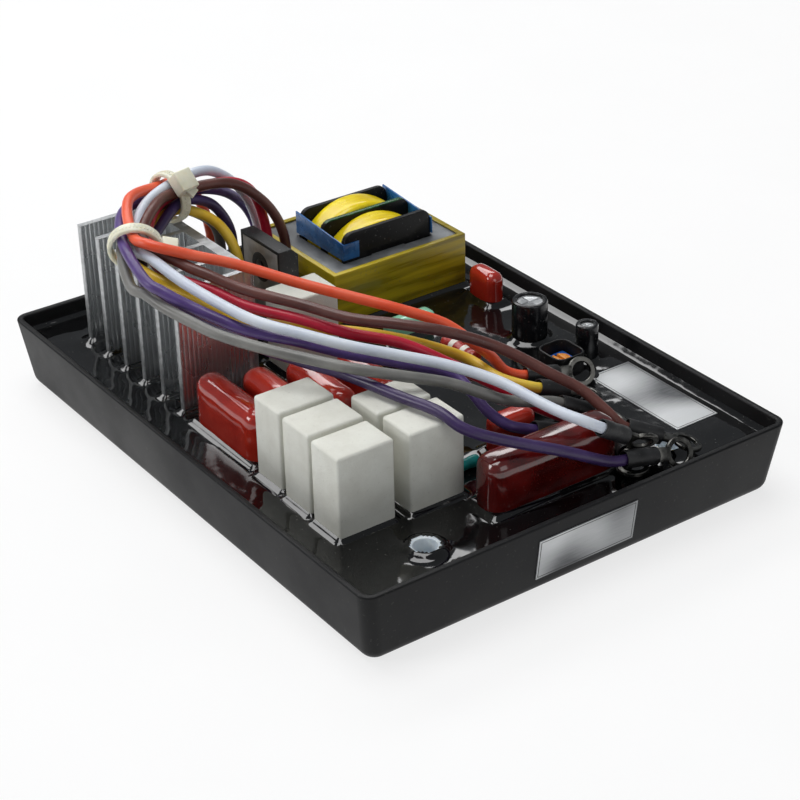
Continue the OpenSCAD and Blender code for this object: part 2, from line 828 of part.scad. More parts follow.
module can(d, h, at) {
    r = d / 2 - ely_skin - part_gap;
    translate([at[0], at[1], board_top])
        difference() {
            cylinder(r = r, h = h - ely_skin - part_gap);
            for (a = [0, 90])
                rotate([0, 0, a])
                    box([2 * r - 2 * ely_lip, ely_groove, ely_groove + over],
                        [0, 0, h - ely_skin - part_gap - ely_groove]);
        }
}

// Shrunk sleeve with its upper edge turned in over the can
module can_sleeve(d, h, at) {
    translate([at[0], at[1], board_top])
        difference() {
            cylinder(d = d, h = h);
            translate([0, 0, -over])
                cylinder(r = d / 2 - ely_skin, h = h - ely_skin + over);
            cylinder(r = d / 2 - ely_skin - part_gap - ely_lip, h = h + over);
        }
}

module large_electrolytic() {
    color(bare_aluminium)
        can(ely_d, ely_h, ELY);
}

module large_electrolytic_sleeve() {
    color(black_plastic)
        can_sleeve(ely_d, ely_h, ELY);
}

module small_electrolytic() {
    color(bare_aluminium)
        can(ely_small_d, ely_small_h, ELY_SMALL);
}

module small_electrolytic_sleeve() {
    color(black_plastic)
        can_sleeve(ely_small_d, ely_small_h, ELY_SMALL);
}

module trimmer_collar() {
    color(black_plastic)
        translate([TRIM[0], TRIM[1], board_top])
            linear_extrude(collar_h)
                difference() {
                    soft_rect(collar_l, collar_w, collar_r);
                    soft_rect(collar_l - 2 * collar_wall, collar_w - 2 * collar_wall, collar_r - collar_wall);
                }
}

module trimmer_body() {
    color(trimmer_blue)
        difference() {
            box([trim_l, trim_w, trim_h], [TRIM[0], TRIM[1], board_top]);
            translate([TRIM[0], TRIM[1], board_top + trim_h - rotor_recess])
                cylinder(d = rotor_d + 2 * rotor_gap, h = rotor_recess + over);
        }
}

module trimmer_rotor() {
    color(rotor_orange)
        translate([TRIM[0], TRIM[1], board_top + trim_h - rotor_recess + rotor_lift])
            difference() {
                cylinder(d = rotor_d, h = rotor_h);
                box([rotor_d + over, rotor_slot_w, rotor_slot_d + over], [0, 0, rotor_h - rotor_slot_d]);
            }
}

// One wire: a round tube swept along its route
module wire(P) {
    C = curve(P);
    T = [for (i = [0:len(C) - 1]) heading(P, C, i)];
    N = carried(T);
    translate(route_shift)
        polyhedron(
            points = [for (i = [0:len(C) - 1]) each hoop(C[i], T[i], N[i], wire_d / 2)],
            faces = concat([[for (k = [0:wire_sides - 1]) k]], skin(len(C)),
                [[for (k = [wire_sides - 1:-1:0]) (len(C) - 1) * wire_sides + k]]));
}

// Place children at the end of a route, X along the wire
module at_end(P, roll) {
    d = unit(last(P) - before_last(P));
    translate(last(P) + route_shift)
        rotate([0, -asin(d[2]), atan2(d[1], d[0])])
            rotate([roll, 0, 0])
                children();
}

module sleeve(P) {
    r = max(wire_d / 2, barrel_r) + sleeve_gap;
    at_end(P, 0)
        translate([-sleeve_back, 0, 0])
            rotate([0, 90, 0])
                difference() {
                    cylinder(r = r + sleeve_wall, h = sleeve_back + sleeve_front);
                    translate([0, 0, -over])
                        cylinder(r = r, h = sleeve_back + sleeve_front + 2 * over);
                }
}

module ring_lug(P, roll) {
    at_end(P, roll)
        difference() {
            union() {
                rotate([0, 90, 0])
                    cylinder(r = barrel_r, h = barrel_l);
                box([ring_reach - barrel_l + barrel_step, tongue_w, ring_t],
                    [(ring_reach + barrel_l - barrel_step) / 2, 0, -ring_t / 2]);
                translate([ring_reach, 0, -ring_t / 2])
                    cylinder(d = ring_d, h = ring_t);
            }
            translate([ring_reach, 0, -over])
                cylinder(d = ring_bore, h = 2 * over);
        }
}

module wire_orange() {
    color(orange_pvc)
        wire(ORANGE);
}

module wire_brown() {
    color(brown_pvc)
        wire(BROWN);
}

module wire_red() {
    color(red_pvc)
        wire(RED);
}

module wire_white() {
    color(white_pvc)
        wire(WHITE);
}

module wire_yellow() {
    color(yellow_pvc)
        wire(YELLOW);
}

module wire_violet() {
    color(violet_pvc)
        wire(VIOLET);
}

module wire_purple() {
    color(purple_pvc)
        wire(PURPLE);
}

module wire_grey() {
    color(grey_pvc)
        wire(GREY);
}

module sleeve_orange() {
    color(black_plastic)
        sleeve(ORANGE);
}

module sleeve_brown() {
    color(black_plastic)
        sleeve(BROWN);
}

module sleeve_red() {
    color(black_plastic)
        sleeve(RED);
}

module sleeve_white() {
    color(black_plastic)
        sleeve(WHITE);
}

module sleeve_yellow() {
    color(black_plastic)
        sleeve(YELLOW);
}

module sleeve_violet() {
    color(black_plastic)
        sleeve(VIOLET);
}

module sleeve_purple() {
    color(black_plastic)
        sleeve(PURPLE);
}

module sleeve_grey() {
    color(black_plastic)
        sleeve(GREY);
}

module ring_orange() {
    color(tinned)
        ring_lug(ORANGE, roll_facing);
}

module ring_brown() {
    color(tinned)
        ring_lug(BROWN, 0);
}

module ring_red() {
    color(tinned)
        ring_lug(RED, 0);
}

module ring_white() {
    color(tinned)
        ring_lug(WHITE, roll_away);
}

module ring_yellow() {
    color(tinned)
        ring_lug(YELLOW, 0);
}

module ring_violet() {
    color(tinned)
        ring_lug(VIOLET, 0);
}

module ring_purple() {
    color(tinned)
        ring_lug(PURPLE, roll_facing);
}

module ring_grey() {
    color(tinned)
        ring_lug(GREY, 0);
}

// Place children on a bundle: Z along the wires, X along its wide direction
module at_bundle(place) {
    t = unit(place[1]);
    u = square_to(place[2], t);
    w = cross(t, u);
    translate(place[0] + route_shift)
        rotate([atan2(w[2], t[2]), -asin(u[2]), atan2(u[1], u[0])])
            children();
}

// Strap round the bundle with its locking head at one end
module tie_loop() {
    translate([0, 0, -tie_w / 2])
        linear_extrude(tie_w)
            difference() {
                circle(tie_r + tie_t);
                circle(tie_r);
            }
    box([tie_head_h, tie_head_l, tie_head_w], [tie_r + tie_t / 2 + tie_head_h / 2, 0, -tie_head_w / 2]);
}

module tie_upper() {
    color(nylon)
        at_bundle(TIE_UPPER) {
            tie_loop();
            translate([tie_r + tie_t / 2 + tie_head_h / 2, -tie_head_l / 2 + over, 0])
                rotate([tie_tail_turn, 0, 0])
                    translate([-tie_t / 2, -tie_tail_l, -tie_w / 2])
                        cube([tie_t, tie_tail_l, tie_w]);
        }
}

module tie_lower() {
    color(nylon)
        at_bundle(TIE_LOWER)
            tie_loop();
}

module label_top() {
    color(foil)
        translate([label_top_x, label_top_y, pot_z])
            cube([label_top_l, label_top_w, foil_t]);
}

// Label on the leaning end wall
module label_front() {
    color(foil)
        translate([out_l(label_front_z), 0, label_front_z])
            rotate([0, draft_angle, 0])
                translate([0, -label_front_w / 2, -label_front_h / 2])
                    cube([foil_t, label_front_w, label_front_h]);
}

tray();
potting();
circuit_board();
mounting_spacers();
heat_sink();
device_bodies();
device_tabs();
device_leads();
device_screw();
transformer_core();
core_tape();
bobbin();
winding_rear();
winding_front();
bobbin_tape();
cement_resistors();
film_capacitors();
output_capacitor();
coupling_capacitor();
rear_capacitor();
green_capacitor();
axial_red();
axial_teal();
large_electrolytic();
large_electrolytic_sleeve();
small_electrolytic();
small_electrolytic_sleeve();
trimmer_collar();
trimmer_body();
trimmer_rotor();
wire_orange();
wire_brown();
wire_red();
wire_white();
wire_yellow();
wire_violet();
wire_purple();
wire_grey();
sleeve_orange();
sleeve_brown();
sleeve_red();
sleeve_white();
sleeve_yellow();
sleeve_violet();
sleeve_purple();
sleeve_grey();
ring_orange();
ring_brown();
ring_red();
ring_white();
ring_yellow();
ring_violet();
ring_purple();
ring_grey();
tie_upper();
tie_lower();
label_top();
label_front();
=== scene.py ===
# %% [markdown]
# # A potted voltage regulator, dressed in Blender
# The imported model comes in as a fixed frame: every solid already sits where it belongs, in metres.
# The looks are built around it, so nothing here moves a solid. The dressed object has to stay inside
# it.

# %% Load the frame
import math

import bmesh
import bpy
from mathutils import Matrix, Vector, noise


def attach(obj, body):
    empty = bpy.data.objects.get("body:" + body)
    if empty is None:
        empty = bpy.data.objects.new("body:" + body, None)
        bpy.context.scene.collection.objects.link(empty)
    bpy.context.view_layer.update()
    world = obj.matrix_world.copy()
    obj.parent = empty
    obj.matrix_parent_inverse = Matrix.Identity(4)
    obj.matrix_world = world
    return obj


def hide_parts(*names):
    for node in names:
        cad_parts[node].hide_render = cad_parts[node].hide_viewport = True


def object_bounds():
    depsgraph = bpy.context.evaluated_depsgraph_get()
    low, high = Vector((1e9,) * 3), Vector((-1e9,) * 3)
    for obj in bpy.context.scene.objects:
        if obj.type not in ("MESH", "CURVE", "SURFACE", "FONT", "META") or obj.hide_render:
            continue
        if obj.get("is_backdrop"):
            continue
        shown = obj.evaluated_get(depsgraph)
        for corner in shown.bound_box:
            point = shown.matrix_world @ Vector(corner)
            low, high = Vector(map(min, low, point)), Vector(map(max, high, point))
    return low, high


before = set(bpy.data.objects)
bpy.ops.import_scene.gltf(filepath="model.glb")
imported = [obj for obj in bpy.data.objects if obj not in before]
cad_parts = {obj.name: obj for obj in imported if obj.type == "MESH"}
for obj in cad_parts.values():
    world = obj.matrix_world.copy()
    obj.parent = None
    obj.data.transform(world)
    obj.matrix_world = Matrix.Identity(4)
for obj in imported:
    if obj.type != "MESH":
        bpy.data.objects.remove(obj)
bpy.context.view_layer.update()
scene = bpy.context.scene
MM = 0.001

# %% [markdown]
# ## Camera
# The photograph looks down on the spacer end from about thirty degrees, with a long lens and a
# slight roll. A camera matrix is three unit columns, right, up and back, so the angles are turned
# into those columns and nothing has to be aimed by hand.

# %% Camera
# Fitted to the tray's rim, the resistors, the free device and the spacers
azimuth, elevation, roll = math.radians(55.119), math.radians(29.718), math.radians(-1.35)
LENS = 94.83
CAMERA_PLACE = (327.307, -223.273, 234.192)
back = Vector((math.sin(azimuth) * math.cos(elevation), -math.cos(azimuth) * math.cos(elevation),
               math.sin(elevation)))
level_right = Vector((math.cos(azimuth), math.sin(azimuth), 0))
level_up = back.cross(level_right)
right = math.cos(roll) * level_right + math.sin(roll) * level_up
up = math.cos(roll) * level_up - math.sin(roll) * level_right
lens = bpy.data.cameras.new("camera")
lens.lens = LENS
lens.clip_start, lens.clip_end = 0.01, 20
camera = bpy.data.objects.new("camera", lens)
scene.collection.objects.link(camera)
turn = Matrix((right, up, back)).transposed().to_4x4()
camera.matrix_world = Matrix.Translation(Vector(CAMERA_PLACE) * MM) @ turn
scene.camera = camera
print("camera at", [round(x, 3) for x in camera.location])

# %% [markdown]
# ## Finishes
# Each finish is a small node tree on one Principled shader. Colours are written as they would be
# picked from a picture, so one function turns them into the linear numbers that the shader wants.
# A second one adds a node, sets its values and plugs in its links, and every tree below is made with
# it. Grain and patches are sized in millimetres on the object itself, so they stay put from any side.

# %% Colours and nodes
def linear(code):
    """A colour written as six hex digits, as linear RGBA."""
    parts = [int(code[i:i + 2], 16) / 255 for i in (0, 2, 4)]
    return (*[c / 12.92 if c <= 0.04045 else ((c + 0.055) / 1.055) ** 2.4 for c in parts], 1)


def add(tree, kind, values=None, links=None, **settings):
    """One shader node with settings, values and links; a node given as a link lends its first output."""
    node = tree.nodes.new("ShaderNode" + kind)
    for key, value in settings.items():
        setattr(node, key, value)
    for key, value in (values or {}).items():
        node.inputs[key].default_value = value
    for key, source in (links or {}).items():
        socket = source.outputs[0] if isinstance(source, bpy.types.Node) else source
        tree.links.new(socket, node.inputs[key])
    return node


def new_finish(name):
    """A material and its empty node tree."""
    material = bpy.data.materials.new(name)
    material.use_nodes = True
    material.node_tree.nodes.clear()
    print("finish", name)
    return material, material.node_tree


print("middle grey is", round(linear("808080")[0], 3), "in linear light")

# %% [markdown]
# Most finishes here are alike: two near colours in soft patches that also vary the roughness, a fine
# grain as relief, and dust where the real piece shows any. One function makes those, so a few values
# describe each of them. A noise value lies mostly around a half, so a Map Range node spreads that
# middle part over the range that is wanted.

# %% Coatings
MIDDLE = {"From Min": 0.35, "From Max": 0.65}


def coating(name, low, high, patch=6, fine=0.4, rough=(0.35, 0.5), depth=0.01, stretch=(1, 1, 1),
            metal=0.0, coat=0.0, glow=0.0, specular=0.5, dust="9A9A96", dusty=0.0):
    """A patchy, grained finish between two colours; patch, fine and depth are millimetres."""
    material, tree = new_finish(name)
    place = add(tree, "TexCoord").outputs["Object"]
    drawn = add(tree, "Mapping", {"Scale": [1 / s for s in stretch]}, {"Vector": place})
    patches = add(tree, "TexNoise", {"Scale": 1 / (patch * MM), "Detail": 4.0, "Roughness": 0.55},
                  {"Vector": drawn})
    small = add(tree, "TexNoise", {"Scale": 1 / (fine * MM), "Detail": 3.0, "Roughness": 0.55},
                {"Vector": drawn})
    share = add(tree, "MapRange", MIDDLE, {"Value": patches})
    # A Mix node for colours takes them at inputs 6 and 7 and gives the result at output 2
    colour = add(tree, "Mix", {6: linear(low), 7: linear(high)}, {0: share}, data_type="RGBA").outputs[2]
    if dusty:
        # Real dust is finer; it is drawn as coarse as it needs to show
        dots = add(tree, "TexNoise", {"Scale": 1 / (0.7 * MM), "Detail": 2.0, "Roughness": 0.55},
                   {"Vector": place})
        specks = add(tree, "MapRange", {"From Min": 0.66, "From Max": 0.72, "To Max": dusty}, {"Value": dots})
        colour = add(tree, "Mix", {7: linear(dust)}, {0: specks, 6: colour}, data_type="RGBA").outputs[2]
    worn = add(tree, "MapRange", {**MIDDLE, "To Min": rough[0], "To Max": rough[1]}, {"Value": patches})
    relief = add(tree, "Bump", {"Distance": depth * MM, "Strength": 1.0}, {"Height": small})
    shader = add(tree, "BsdfPrincipled",
                 {"Metallic": metal, "Coat Weight": coat, "Coat Roughness": 0.06,
                  "Specular IOR Level": specular, "Subsurface Weight": glow,
                  "Subsurface Radius": (0.9, 0.8, 0.6), "Subsurface Scale": 0.8 * MM},
                 {"Base Color": colour, "Roughness": worn, "Normal": relief})
    add(tree, "OutputMaterial", links={"Surface": shader})
    return material


# %% [markdown]
# ## Wires
# Eight stranded wires leave the resin behind the heat sink and run through two ties to their lugs.
# A wire could be a tube swept by hand, but a Bezier curve with a round bevel is one object with a
# real centreline. Its handles are a sixth of the step between neighbours, which makes the same
# smooth curve as the solids follow.

# %% Wire routes in millimetres
WIRE_ACROSS = 2.3
ROUTES = {
    "orange": [(-49.5, -11, 12.65), (-49.5, -11, 28), (-50, -12, 37.5), (-50.4, -15, 44.4),
               (-48.8, -19.4, 48.2), (-46, -24.7, 49.4), (-39.2, -36.2, 51.8), (-26.6, -42.6, 50),
               (-20, -42, 50), (-15, -35, 47.5), (-10, -27.5, 45), (-1.5, -18.5, 41.5), (5.5, -11, 39),
               (12.5, -3.5, 36.5), (18, 4, 33), (22.5, 8.5, 28.5), (22, 13, 24), (22.5, 16, 20),
               (23.5, 19.5, 18), (24.5, 23, 17.5)],
    "brown": [(-40.5, 3, 12.65), (-40.5, 3, 24), (-40, 1.5, 34), (-40.4, -3, 42), (-40.6, -11.2, 48.2),
              (-41, -23.8, 49.4), (-34, -33.2, 51), (-25.5, -40.7, 48.7), (-16.2, -37.2, 45.8),
              (-11.5, -34.5, 44.5), (-5, -29.5, 42), (5, -22.5, 40.5), (14.5, -17, 39.5), (22, -10, 39),
              (28, -2, 37), (33.5, 6.5, 33), (41.5, 13, 28.5), (46.5, 16.8, 25.8), (51.2, 19, 22.6),
              (55, 20.6, 19.9), (56.7, 23.3, 18.8)],
    "red": [(-43.5, 0.5, 12.65), (-43.5, 0.5, 24), (-43.5, -1, 36), (-43, -4.4, 44), (-43, -11.4, 47.6),
            (-43.6, -24.2, 47.4), (-35.6, -33.4, 47.8), (-25.8, -39.4, 46.2), (-17.8, -40.4, 44),
            (-10, -34.5, 41.5), (-3.5, -30, 39), (5.5, -23, 37.5), (13.5, -16.5, 35.5), (19.5, -8, 33),
            (25, 0, 28), (30.5, 8.5, 22), (34.5, 13, 18.5), (39, 17.5, 16), (43, 21.5, 15.2),
            (46.5, 23.8, 15), (50, 23.8, 15), (53, 22.2, 15)],
    "white": [(-49, 1.5, 12.65), (-49, 1.5, 24), (-48.5, 0, 34), (-47, -4.6, 43), (-46, -13, 49.8),
              (-43.2, -24.2, 50.4), (-36.8, -34.6, 49.8), (-27, -42, 47), (-19, -42.2, 47),
              (-8.5, -40, 44.5), (5.5, -35, 41.5), (14.5, -29, 40), (22, -22, 38), (28, -14.5, 36),
              (34.5, -7, 34), (42, -0.5, 31.5), (51.5, 3, 29.5), (56, 4.6, 28.8), (59.3, 6.4, 28.2),
              (61, 9, 26.7), (61, 11.8, 24.9)],
    "yellow": [(-33, -13.5, 12.65), (-33, -13.5, 25), (-34, -14, 34.5), (-37, -15.8, 40.4),
               (-40.3, -19.2, 43.4), (-42, -24.2, 44.8), (-37.6, -34.2, 44.2), (-28.2, -42.8, 44.4),
               (-19.4, -43.6, 44.2), (-12, -39.5, 42), (-7, -34, 37.5), (-1.5, -28.5, 35.5), (4, -20, 34),
               (10, -9, 31.5), (14.5, -0.5, 28.5), (18.5, 9, 23.5), (26.5, 11.5, 21.5), (31.5, 16, 20),
               (32, 20, 18.5)],
    "violet": [(-52.5, 3.5, 12.65), (-52.5, 3.5, 22), (-52.5, 1.5, 32), (-51, -4, 39.4), (-47.6, -13, 44.8),
               (-46.4, -24.8, 46.8), (-40.4, -36.8, 49), (-28, -44.4, 48.8), (-14, -47.4, 46.4),
               (-9, -46, 45), (-4.5, -42.5, 42.5), (0.5, -39, 40.5), (5, -35, 38.5), (12, -27.5, 36.5),
               (18.5, -20, 34), (24.5, -12, 32), (30, -3.5, 29), (35, -2, 26.5), (39.5, -1.5, 24),
               (43.5, 0.5, 22), (45, 4, 20.5), (45.5, 8, 19)],
    "purple": [(-41.5, -10.5, 12.65), (-41.5, -10.5, 26), (-41, -11, 36), (-41, -14, 42.6),
               (-40.8, -18.2, 46), (-40.8, -23.6, 46.8), (-34.8, -32.2, 45.2), (-27.2, -40.4, 44),
               (-20.2, -43.8, 40.2), (-14.5, -43, 39), (-5, -39.5, 37), (4, -34.5, 35), (14.5, -29.5, 34),
               (24, -25, 33.5), (37, -21, 33), (46, -18.5, 33), (51.5, -16.5, 31), (55.5, -11, 28.5),
               (61, 0, 24.5), (62.5, 10.5, 19), (63.5, 16.5, 18)],
    "grey": [(-46.5, -10.5, 12.65), (-46.5, -10.5, 28), (-46, -13, 37.5), (-44.6, -24.4, 44.8),
             (-40, -36, 45.6), (-28.6, -44.4, 46.4), (-19, -48, 43), (-13.5, -47.5, 43), (-8, -46.5, 42),
             (-1.5, -44.5, 41), (5.5, -42, 40), (13, -37.5, 39), (19.5, -32.5, 38), (28, -26, 37),
             (33.5, -18, 35), (37.5, -9, 32), (42.5, 1, 27), (45, 10.5, 24.5), (46, 14.5, 22.5)],
}
print(len(ROUTES), "routes,", sum(len(r) for r in ROUTES.values()), "points")

# %% [markdown]
# The insulation is soft extruded PVC. It is nearly one colour, a little uneven and dusty, with a low
# sheen. The eight wires differ only in their colours, so one short function makes the finish.

# %% Wire insulation
def insulation(name, low, high):
    """Soft PVC is smooth and a little waxy, so its highlights are long and mild."""
    return coating(name, low, high, patch=9, fine=0.5, rough=(0.3, 0.42), depth=0.012, glow=0.06,
                   dusty=0.12)


PVC = {
    "orange": ("E9532F", "F26A48"),
    "brown": ("502C27", "683D36"),
    "red": ("B5182F", "CB2340"),
    "white": ("CBD3E2", "DDE3EC"),
    "yellow": ("DFB42C", "EAC845"),
    "violet": ("483368", "584282"),
    "purple": ("301F49", "3E2A5C"),
    "grey": ("686764", "7E7D79"),
}
INSULATION = {colour: insulation(colour + "_pvc", *shades) for colour, shades in PVC.items()}

# %% Wires
def handles(points, i):
    """Handles of a smooth curve through points, a sixth of the step between neighbours."""
    before = points[i - 1] if i else 2 * points[0] - points[1]
    after = points[i + 1] if i < len(points) - 1 else 2 * points[-1] - points[-2]
    step = (after - before) / 6
    return points[i] - step, points[i] + step


for colour, route in ROUTES.items():
    points = [Vector(p) * MM for p in route]
    line = bpy.data.curves.new("wire_" + colour + "_line", "CURVE")
    line.dimensions = "3D"
    line.resolution_u = 8
    line.bevel_depth = WIRE_ACROSS / 2 * MM
    line.bevel_resolution = 6
    line.use_fill_caps = True
    spline = line.splines.new("BEZIER")
    spline.bezier_points.add(len(points) - 1)
    for i, knot in enumerate(spline.bezier_points):
        knot.handle_left_type = knot.handle_right_type = "FREE"
        knot.co = points[i]
        knot.handle_left, knot.handle_right = handles(points, i)
    line.materials.append(INSULATION[colour])
    wire = bpy.data.objects.new("insulated_wire_" + colour, line)
    scene.collection.objects.link(wire)
    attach(wire, "regulator")
    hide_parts("wire_" + colour)
    print(wire.name, round(1000 * spline.calc_length(), 1), "mm")

# %% [markdown]
# ## From a bmesh to a piece
# A piece is always made the same way at the end: the bmesh becomes a mesh object at the origin,
# rides on a body of the frame, and hides the solids that it stands for. Edges steeper than an
# angle stay crisp and the rest shade smoothly.

# %% Settle a piece
def settle(name, bm, materials, stands_for=(), body="regulator", crisp=35):
    """Finish a bmesh as an object of the regulator."""
    bmesh.ops.dissolve_degenerate(bm, dist=1e-7, edges=bm.edges)
    bmesh.ops.recalc_face_normals(bm, faces=bm.faces)
    mesh = bpy.data.meshes.new(name)
    bm.to_mesh(mesh)
    bm.free()
    for material in materials:
        mesh.materials.append(material)
    mesh.polygons.foreach_set("use_smooth", [True] * len(mesh.polygons))
    mesh.set_sharp_from_angle(angle=math.radians(crisp))
    piece = bpy.data.objects.new(name, mesh)
    scene.collection.objects.link(piece)
    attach(piece, body)
    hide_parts(*stands_for)
    print(name, len(mesh.polygons), "faces")
    return piece


# %% [markdown]
# Three things come back on every part of the board: boxes, soft edges and turned shapes. A box is a
# cube scaled by its matrix, its edges are picked by the axis along which they run, and a turned shape
# is a short profile spun a full turn and merged at the seam.

# %% Boxes and soft edges
def block(bm, size, foot):
    """A box given by its size and the middle of its underside, in millimetres."""
    middle = Vector((foot[0], foot[1], foot[2] + size[2] / 2)) * MM
    place = Matrix.Translation(middle) @ Matrix.Diagonal((*[s * MM for s in size], 1))
    return bmesh.ops.create_cube(bm, size=1, matrix=place)["verts"]


def edges_of(verts, along=None):
    """The edges among some vertices, or only those along one axis."""
    chosen = set(verts)
    edges = {e for v in verts for e in v.link_edges if all(w in chosen for w in e.verts)}
    if along is None:
        return list(edges)
    keep = []
    for e in edges:
        run = (e.verts[1].co - e.verts[0].co).normalized()
        if abs(run[along]) > 0.99:
            keep.append(e)
    return keep


def soften(bm, edges, width, segments=3):
    """Round some edges by a width in millimetres."""
    return bmesh.ops.bevel(bm, geom=edges, offset=width * MM, segments=segments, profile=0.5,
                           affect="EDGES", material=-1, clamp_overlap=True)


# %% Turned shapes
def join_in(bm, part, place=None):
    """Add a part that has its own bmesh to a larger one, at a place."""
    if place is not None:
        bmesh.ops.transform(part, matrix=place, verts=part.verts)
    carrier = bpy.data.meshes.new("part")
    part.to_mesh(carrier)
    part.free()
    bm.from_mesh(carrier)
    bpy.data.meshes.remove(carrier)


def lathe(bm, profile, place, steps=40, finish=0):
    """Spin a profile of (radius, height) points in millimetres about a place's own Z."""
    part = bmesh.new()
    verts = [part.verts.new((r * MM, 0, z * MM)) for r, z in profile]
    edges = [part.edges.new(pair) for pair in zip(verts, verts[1:])]
    bmesh.ops.spin(part, geom=verts + edges, cent=(0, 0, 0), axis=(0, 0, 1), angle=2 * math.pi,
                   steps=steps, use_merge=True)
    bmesh.ops.remove_doubles(part, verts=part.verts, dist=1e-7)
    for face in part.faces:
        face.material_index = finish
    join_in(bm, part, place)


def upright(x, y, z=0):
    """A place standing at a point given in millimetres."""
    return Matrix.Translation(Vector((x, y, z)) * MM)


# %% [markdown]
# ## Lugs and sleeves
# Each wire ends in a tinned ring lug whose barrel is crimped on the strands and covered with a
# short black sleeve. The ring and the barrel are turned shapes, so both are spun from a short
# profile; the tongue between them is a softened plate. A place whose X runs along the wire's end
# puts them all in line.

# %% Lug finishes
# Tinned copper that has been handled: grey, with small bright and dull spots
tinned = coating("tinned_copper", "3E3D3B", "757470", patch=2.5, fine=0.25, rough=(0.2, 0.42),
                 depth=0.01, metal=1.0)
# Shrunk polyolefin tube: soft black, slightly wavy where it drew in
shrunk_sleeve = coating("shrunk_polyolefin", "101011", "1E1E20", patch=3, fine=0.5, rough=(0.4, 0.6),
                        depth=0.03, dusty=0.15)

# %% Lug shapes in millimetres
def wire_end(route, turned):
    """Place at a wire's end: X along the wire, rolled about it by some degrees."""
    last, before = Vector(route[-1]), Vector(route[-2])
    run = (last - before).normalized()
    yaw, pitch = math.atan2(run.y, run.x), -math.asin(run.z)
    return (Matrix.Translation(last * MM) @ Matrix.Rotation(yaw, 4, "Z") @ Matrix.Rotation(pitch, 4, "Y")
            @ Matrix.Rotation(math.radians(turned), 4, "X"))


ALONG = Matrix.Rotation(math.radians(90), 4, "Y")
LUG_TURN = {"orange": 60, "purple": 60, "white": 135}
RING_REACH = 10.5
TONGUE, TONGUE_FOOT = (3.3, 3.0, 0.8), (6.75, 0, -0.4)
RING_PROFILE = [(2.15, -0.3), (2.25, -0.4), (3.1, -0.4), (3.25, -0.25), (3.25, 0.25), (3.1, 0.4),
                (2.25, 0.4), (2.15, 0.3), (2.15, -0.3)]
BARREL_PROFILE = [(0.0, 0.0), (1.1, 0.0), (1.2, 0.1), (1.2, 1.4), (1.02, 1.9), (1.02, 3.3), (1.2, 3.8),
                  (1.2, 5.3), (1.1, 5.5), (0.75, 5.5), (0.75, 4.6), (0.0, 4.6)]
SLEEVE_PROFILE = [(1.5, -2.35), (1.62, -2.5), (1.78, -2.45), (1.85, -2.2), (1.85, 0.3), (1.78, 1.2),
                  (1.82, 2.6), (1.85, 4.6), (1.8, 4.95), (1.65, 5.0), (1.5, 4.85), (1.5, -2.35)]
print("lug reaches", RING_REACH + max(r for r, z in RING_PROFILE), "mm past its wire")

# %% Lugs and sleeves
for colour, route in ROUTES.items():
    place = wire_end(route, LUG_TURN.get(colour, 0))
    bm = bmesh.new()
    tongue = block(bm, TONGUE, TONGUE_FOOT)
    soften(bm, edges_of(tongue), 0.15, 2)
    bmesh.ops.transform(bm, matrix=place, verts=bm.verts)
    lathe(bm, RING_PROFILE, place @ upright(RING_REACH, 0), 48)
    lathe(bm, BARREL_PROFILE, place @ ALONG, 32)
    lug = settle("ring_lug_" + colour, bm, [tinned], ["ring_" + colour])
    bm = bmesh.new()
    lathe(bm, SLEEVE_PROFILE, place @ ALONG, 32)
    sleeve = settle("lug_sleeve_" + colour, bm, [shrunk_sleeve], ["sleeve_" + colour],
                    crisp=50)

# %% [markdown]
# ## Cable ties
# A tie is a flat strap pulled tight through its own head. Pulled tight it is a ring, so its flat
# section is spun round the bundle. Every second little face in the middle of its outside is sunk a
# touch for the row of teeth. The head is a softened block with a slot in it.

# %% Nylon
# Natural nylon is milky: light goes a little way in, so thin edges glow
nylon = coating("natural_nylon", "DAD8C0", "EEECDA", patch=5, fine=0.6, rough=(0.34, 0.46), depth=0.01,
                glow=0.5, dusty=0.08)

# %% Ties
LOOP, STRAP_THICK, STRAP_WIDE, STRAP_SOFT = 4.8, 0.9, 2.4, 0.15
TEETH_HALF, TEETH_STEPS = 0.35, 96
outer, side = LOOP + STRAP_THICK, STRAP_WIDE / 2
STRAP_PROFILE = [(LOOP, STRAP_SOFT - side), (LOOP + STRAP_SOFT, -side), (outer - STRAP_SOFT, -side),
                 (outer, STRAP_SOFT - side), (outer, -TEETH_HALF), (outer, TEETH_HALF),
                 (outer, side - STRAP_SOFT), (outer - STRAP_SOFT, side), (LOOP + STRAP_SOFT, side),
                 (LOOP, side - STRAP_SOFT), (LOOP, STRAP_SOFT - side)]
HEAD = LOOP + STRAP_THICK / 2 + 1.7
HEAD_SIZE = (3.4, 4.6, 4.4)
TAIL_LONG, TAIL_TURN = 2.4, 25
TIES = {
    "upper": [(-43.5, -24.2, 47.5), (0.2, -1, 0), (0.7, 0.14, 0.7)],
    "lower": [(-27, -42, 47), (0.83, -0.52, -0.29), (0.45, 0.86, -0.24)],
}
